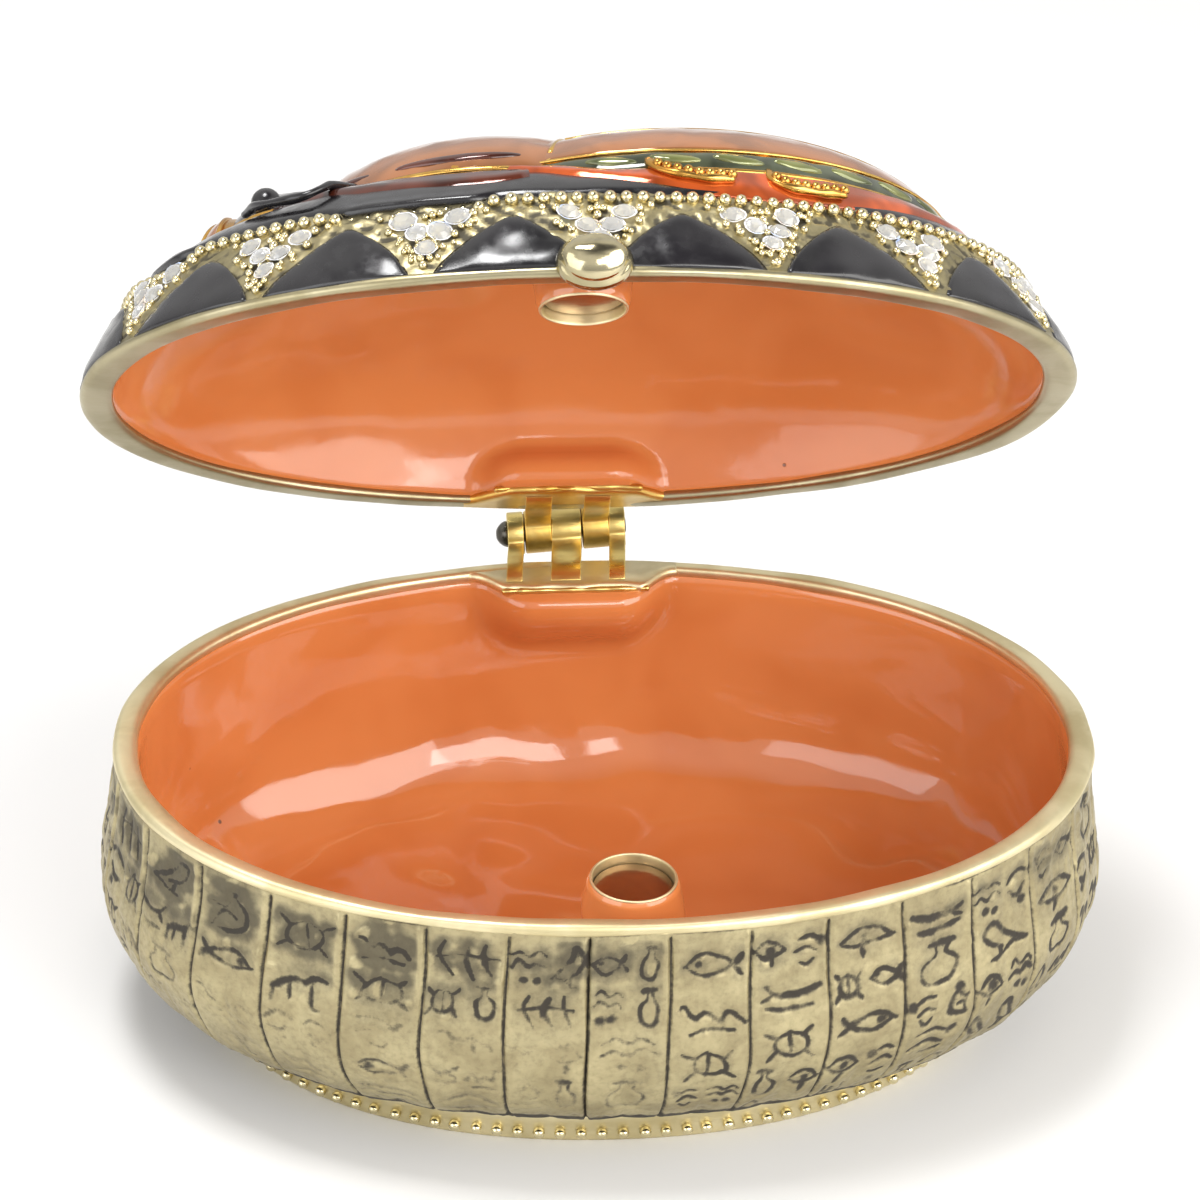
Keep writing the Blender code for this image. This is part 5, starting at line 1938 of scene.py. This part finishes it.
class TRINKET_OT_bowl_rim(bpy.types.Operator):
    """Add the bowl's satin gold rim"""

    bl_idname = "trinket.bowl_rim"
    bl_label = "Bowl Rim"

    def execute(self, context):
        build_bowl_rim()
        return {"FINISHED"}


class TRINKET_OT_foot(bpy.types.Operator):
    """Add the foot's flange, the underside and the row of beads"""

    bl_idname = "trinket.foot"
    bl_label = "Foot and Beads"

    def execute(self, context):
        build_foot()
        build_foot_beads()
        return {"FINISHED"}


class TRINKET_OT_bowl_lining(bpy.types.Operator):
    """Pour the orange enamel lining of the bowl"""

    bl_idname = "trinket.bowl_lining"
    bl_label = "Bowl Lining"

    def execute(self, context):
        build_bowl_lining()
        return {"FINISHED"}


class TRINKET_OT_cups(bpy.types.Operator):
    """Add the magnet cups and give the magnets their finish"""

    bl_idname = "trinket.cups"
    bl_label = "Magnet Cups"

    def execute(self, context):
        build_cups()
        build_magnets()
        return {"FINISHED"}


class TRINKET_OT_hinge(bpy.types.Operator):
    """Add the hinge's two leaves and its pin"""

    bl_idname = "trinket.hinge"
    bl_label = "Hinge"

    def execute(self, context):
        build_hinge()
        return {"FINISHED"}


class TRINKET_OT_lid_rim(bpy.types.Operator):
    """Add the lid's gold rim and its thumb knob"""

    bl_idname = "trinket.lid_rim"
    bl_label = "Lid Rim and Knob"

    def execute(self, context):
        build_lid_rim()
        build_knob()
        return {"FINISHED"}


class TRINKET_OT_lid_band(bpy.types.Operator):
    """Add the lid's gold band with its grains and its row of beads"""

    bl_idname = "trinket.lid_band"
    bl_label = "Lid Band and Beads"

    def execute(self, context):
        build_lid_band()
        build_grains()
        build_lid_beads()
        return {"FINISHED"}


class TRINKET_OT_hills(bpy.types.Operator):
    """Add the black enamel hills and the black ledge"""

    bl_idname = "trinket.hills"
    bl_label = "Black Hills and Ledge"

    def execute(self, context):
        build_hills()
        build_ledge()
        return {"FINISHED"}


class TRINKET_OT_stones(bpy.types.Operator):
    """Set the clear stones over their foils"""

    bl_idname = "trinket.stones"
    bl_label = "Stones"

    def execute(self, context):
        build_stones()
        return {"FINISHED"}


class TRINKET_OT_scarab(bpy.types.Operator):
    """Add the scarab: body, wing cases, pronotum, head and legs"""

    bl_idname = "trinket.scarab"
    bl_label = "Scarab"

    def execute(self, context):
        build_castings()
        build_wing_cases()
        build_pronotum()
        build_head()
        build_legs()
        return {"FINISHED"}


class TRINKET_OT_lid_lining(bpy.types.Operator):
    """Pour the orange enamel lining of the lid"""

    bl_idname = "trinket.lid_lining"
    bl_label = "Lid Lining"

    def execute(self, context):
        build_lid_lining()
        return {"FINISHED"}


OPERATORS = (
    TRINKET_OT_stage,
    TRINKET_OT_bowl_wall,
    TRINKET_OT_bowl_rim,
    TRINKET_OT_foot,
    TRINKET_OT_bowl_lining,
    TRINKET_OT_cups,
    TRINKET_OT_lid_rim,
    TRINKET_OT_lid_band,
    TRINKET_OT_hills,
    TRINKET_OT_stones,
    TRINKET_OT_scarab,
    TRINKET_OT_lid_lining,
    TRINKET_OT_hinge,
)


class TRINKET_PT_panel(bpy.types.Panel):
    """The box's sizes and colours, and a button for each group of pieces"""

    bl_label = "Trinket Box"
    bl_idname = "TRINKET_PT_panel"
    bl_space_type = "VIEW_3D"
    bl_region_type = "UI"
    bl_category = "Trinket Box"

    def draw(self, context):
        layout = self.layout
        for group in (context.scene.trinket_sizes, context.scene.trinket_colours):
            box = layout.box()
            for name in group.__annotations__:
                box.prop(group, name)
        for operator in OPERATORS:
            layout.operator(operator.bl_idname)


CLASSES = (BoxSizes, BoxColours, *OPERATORS, TRINKET_PT_panel)


def register():
    """Registers the classes and gives the scene its sizes and colours."""
    for kind in CLASSES:
        bpy.utils.register_class(kind)
    bpy.types.Scene.trinket_sizes = PointerProperty(type=BoxSizes)
    bpy.types.Scene.trinket_colours = PointerProperty(type=BoxColours)


def unregister():
    """Takes back what register did."""
    del bpy.types.Scene.trinket_colours
    del bpy.types.Scene.trinket_sizes
    for kind in reversed(CLASSES):
        bpy.utils.unregister_class(kind)


def main():
    """Builds the box and its stage."""
    register()
    for operator in OPERATORS:
        group, name = operator.bl_idname.split(".")
        getattr(getattr(bpy.ops, group), name)()


if __name__ == "__main__":
    main()
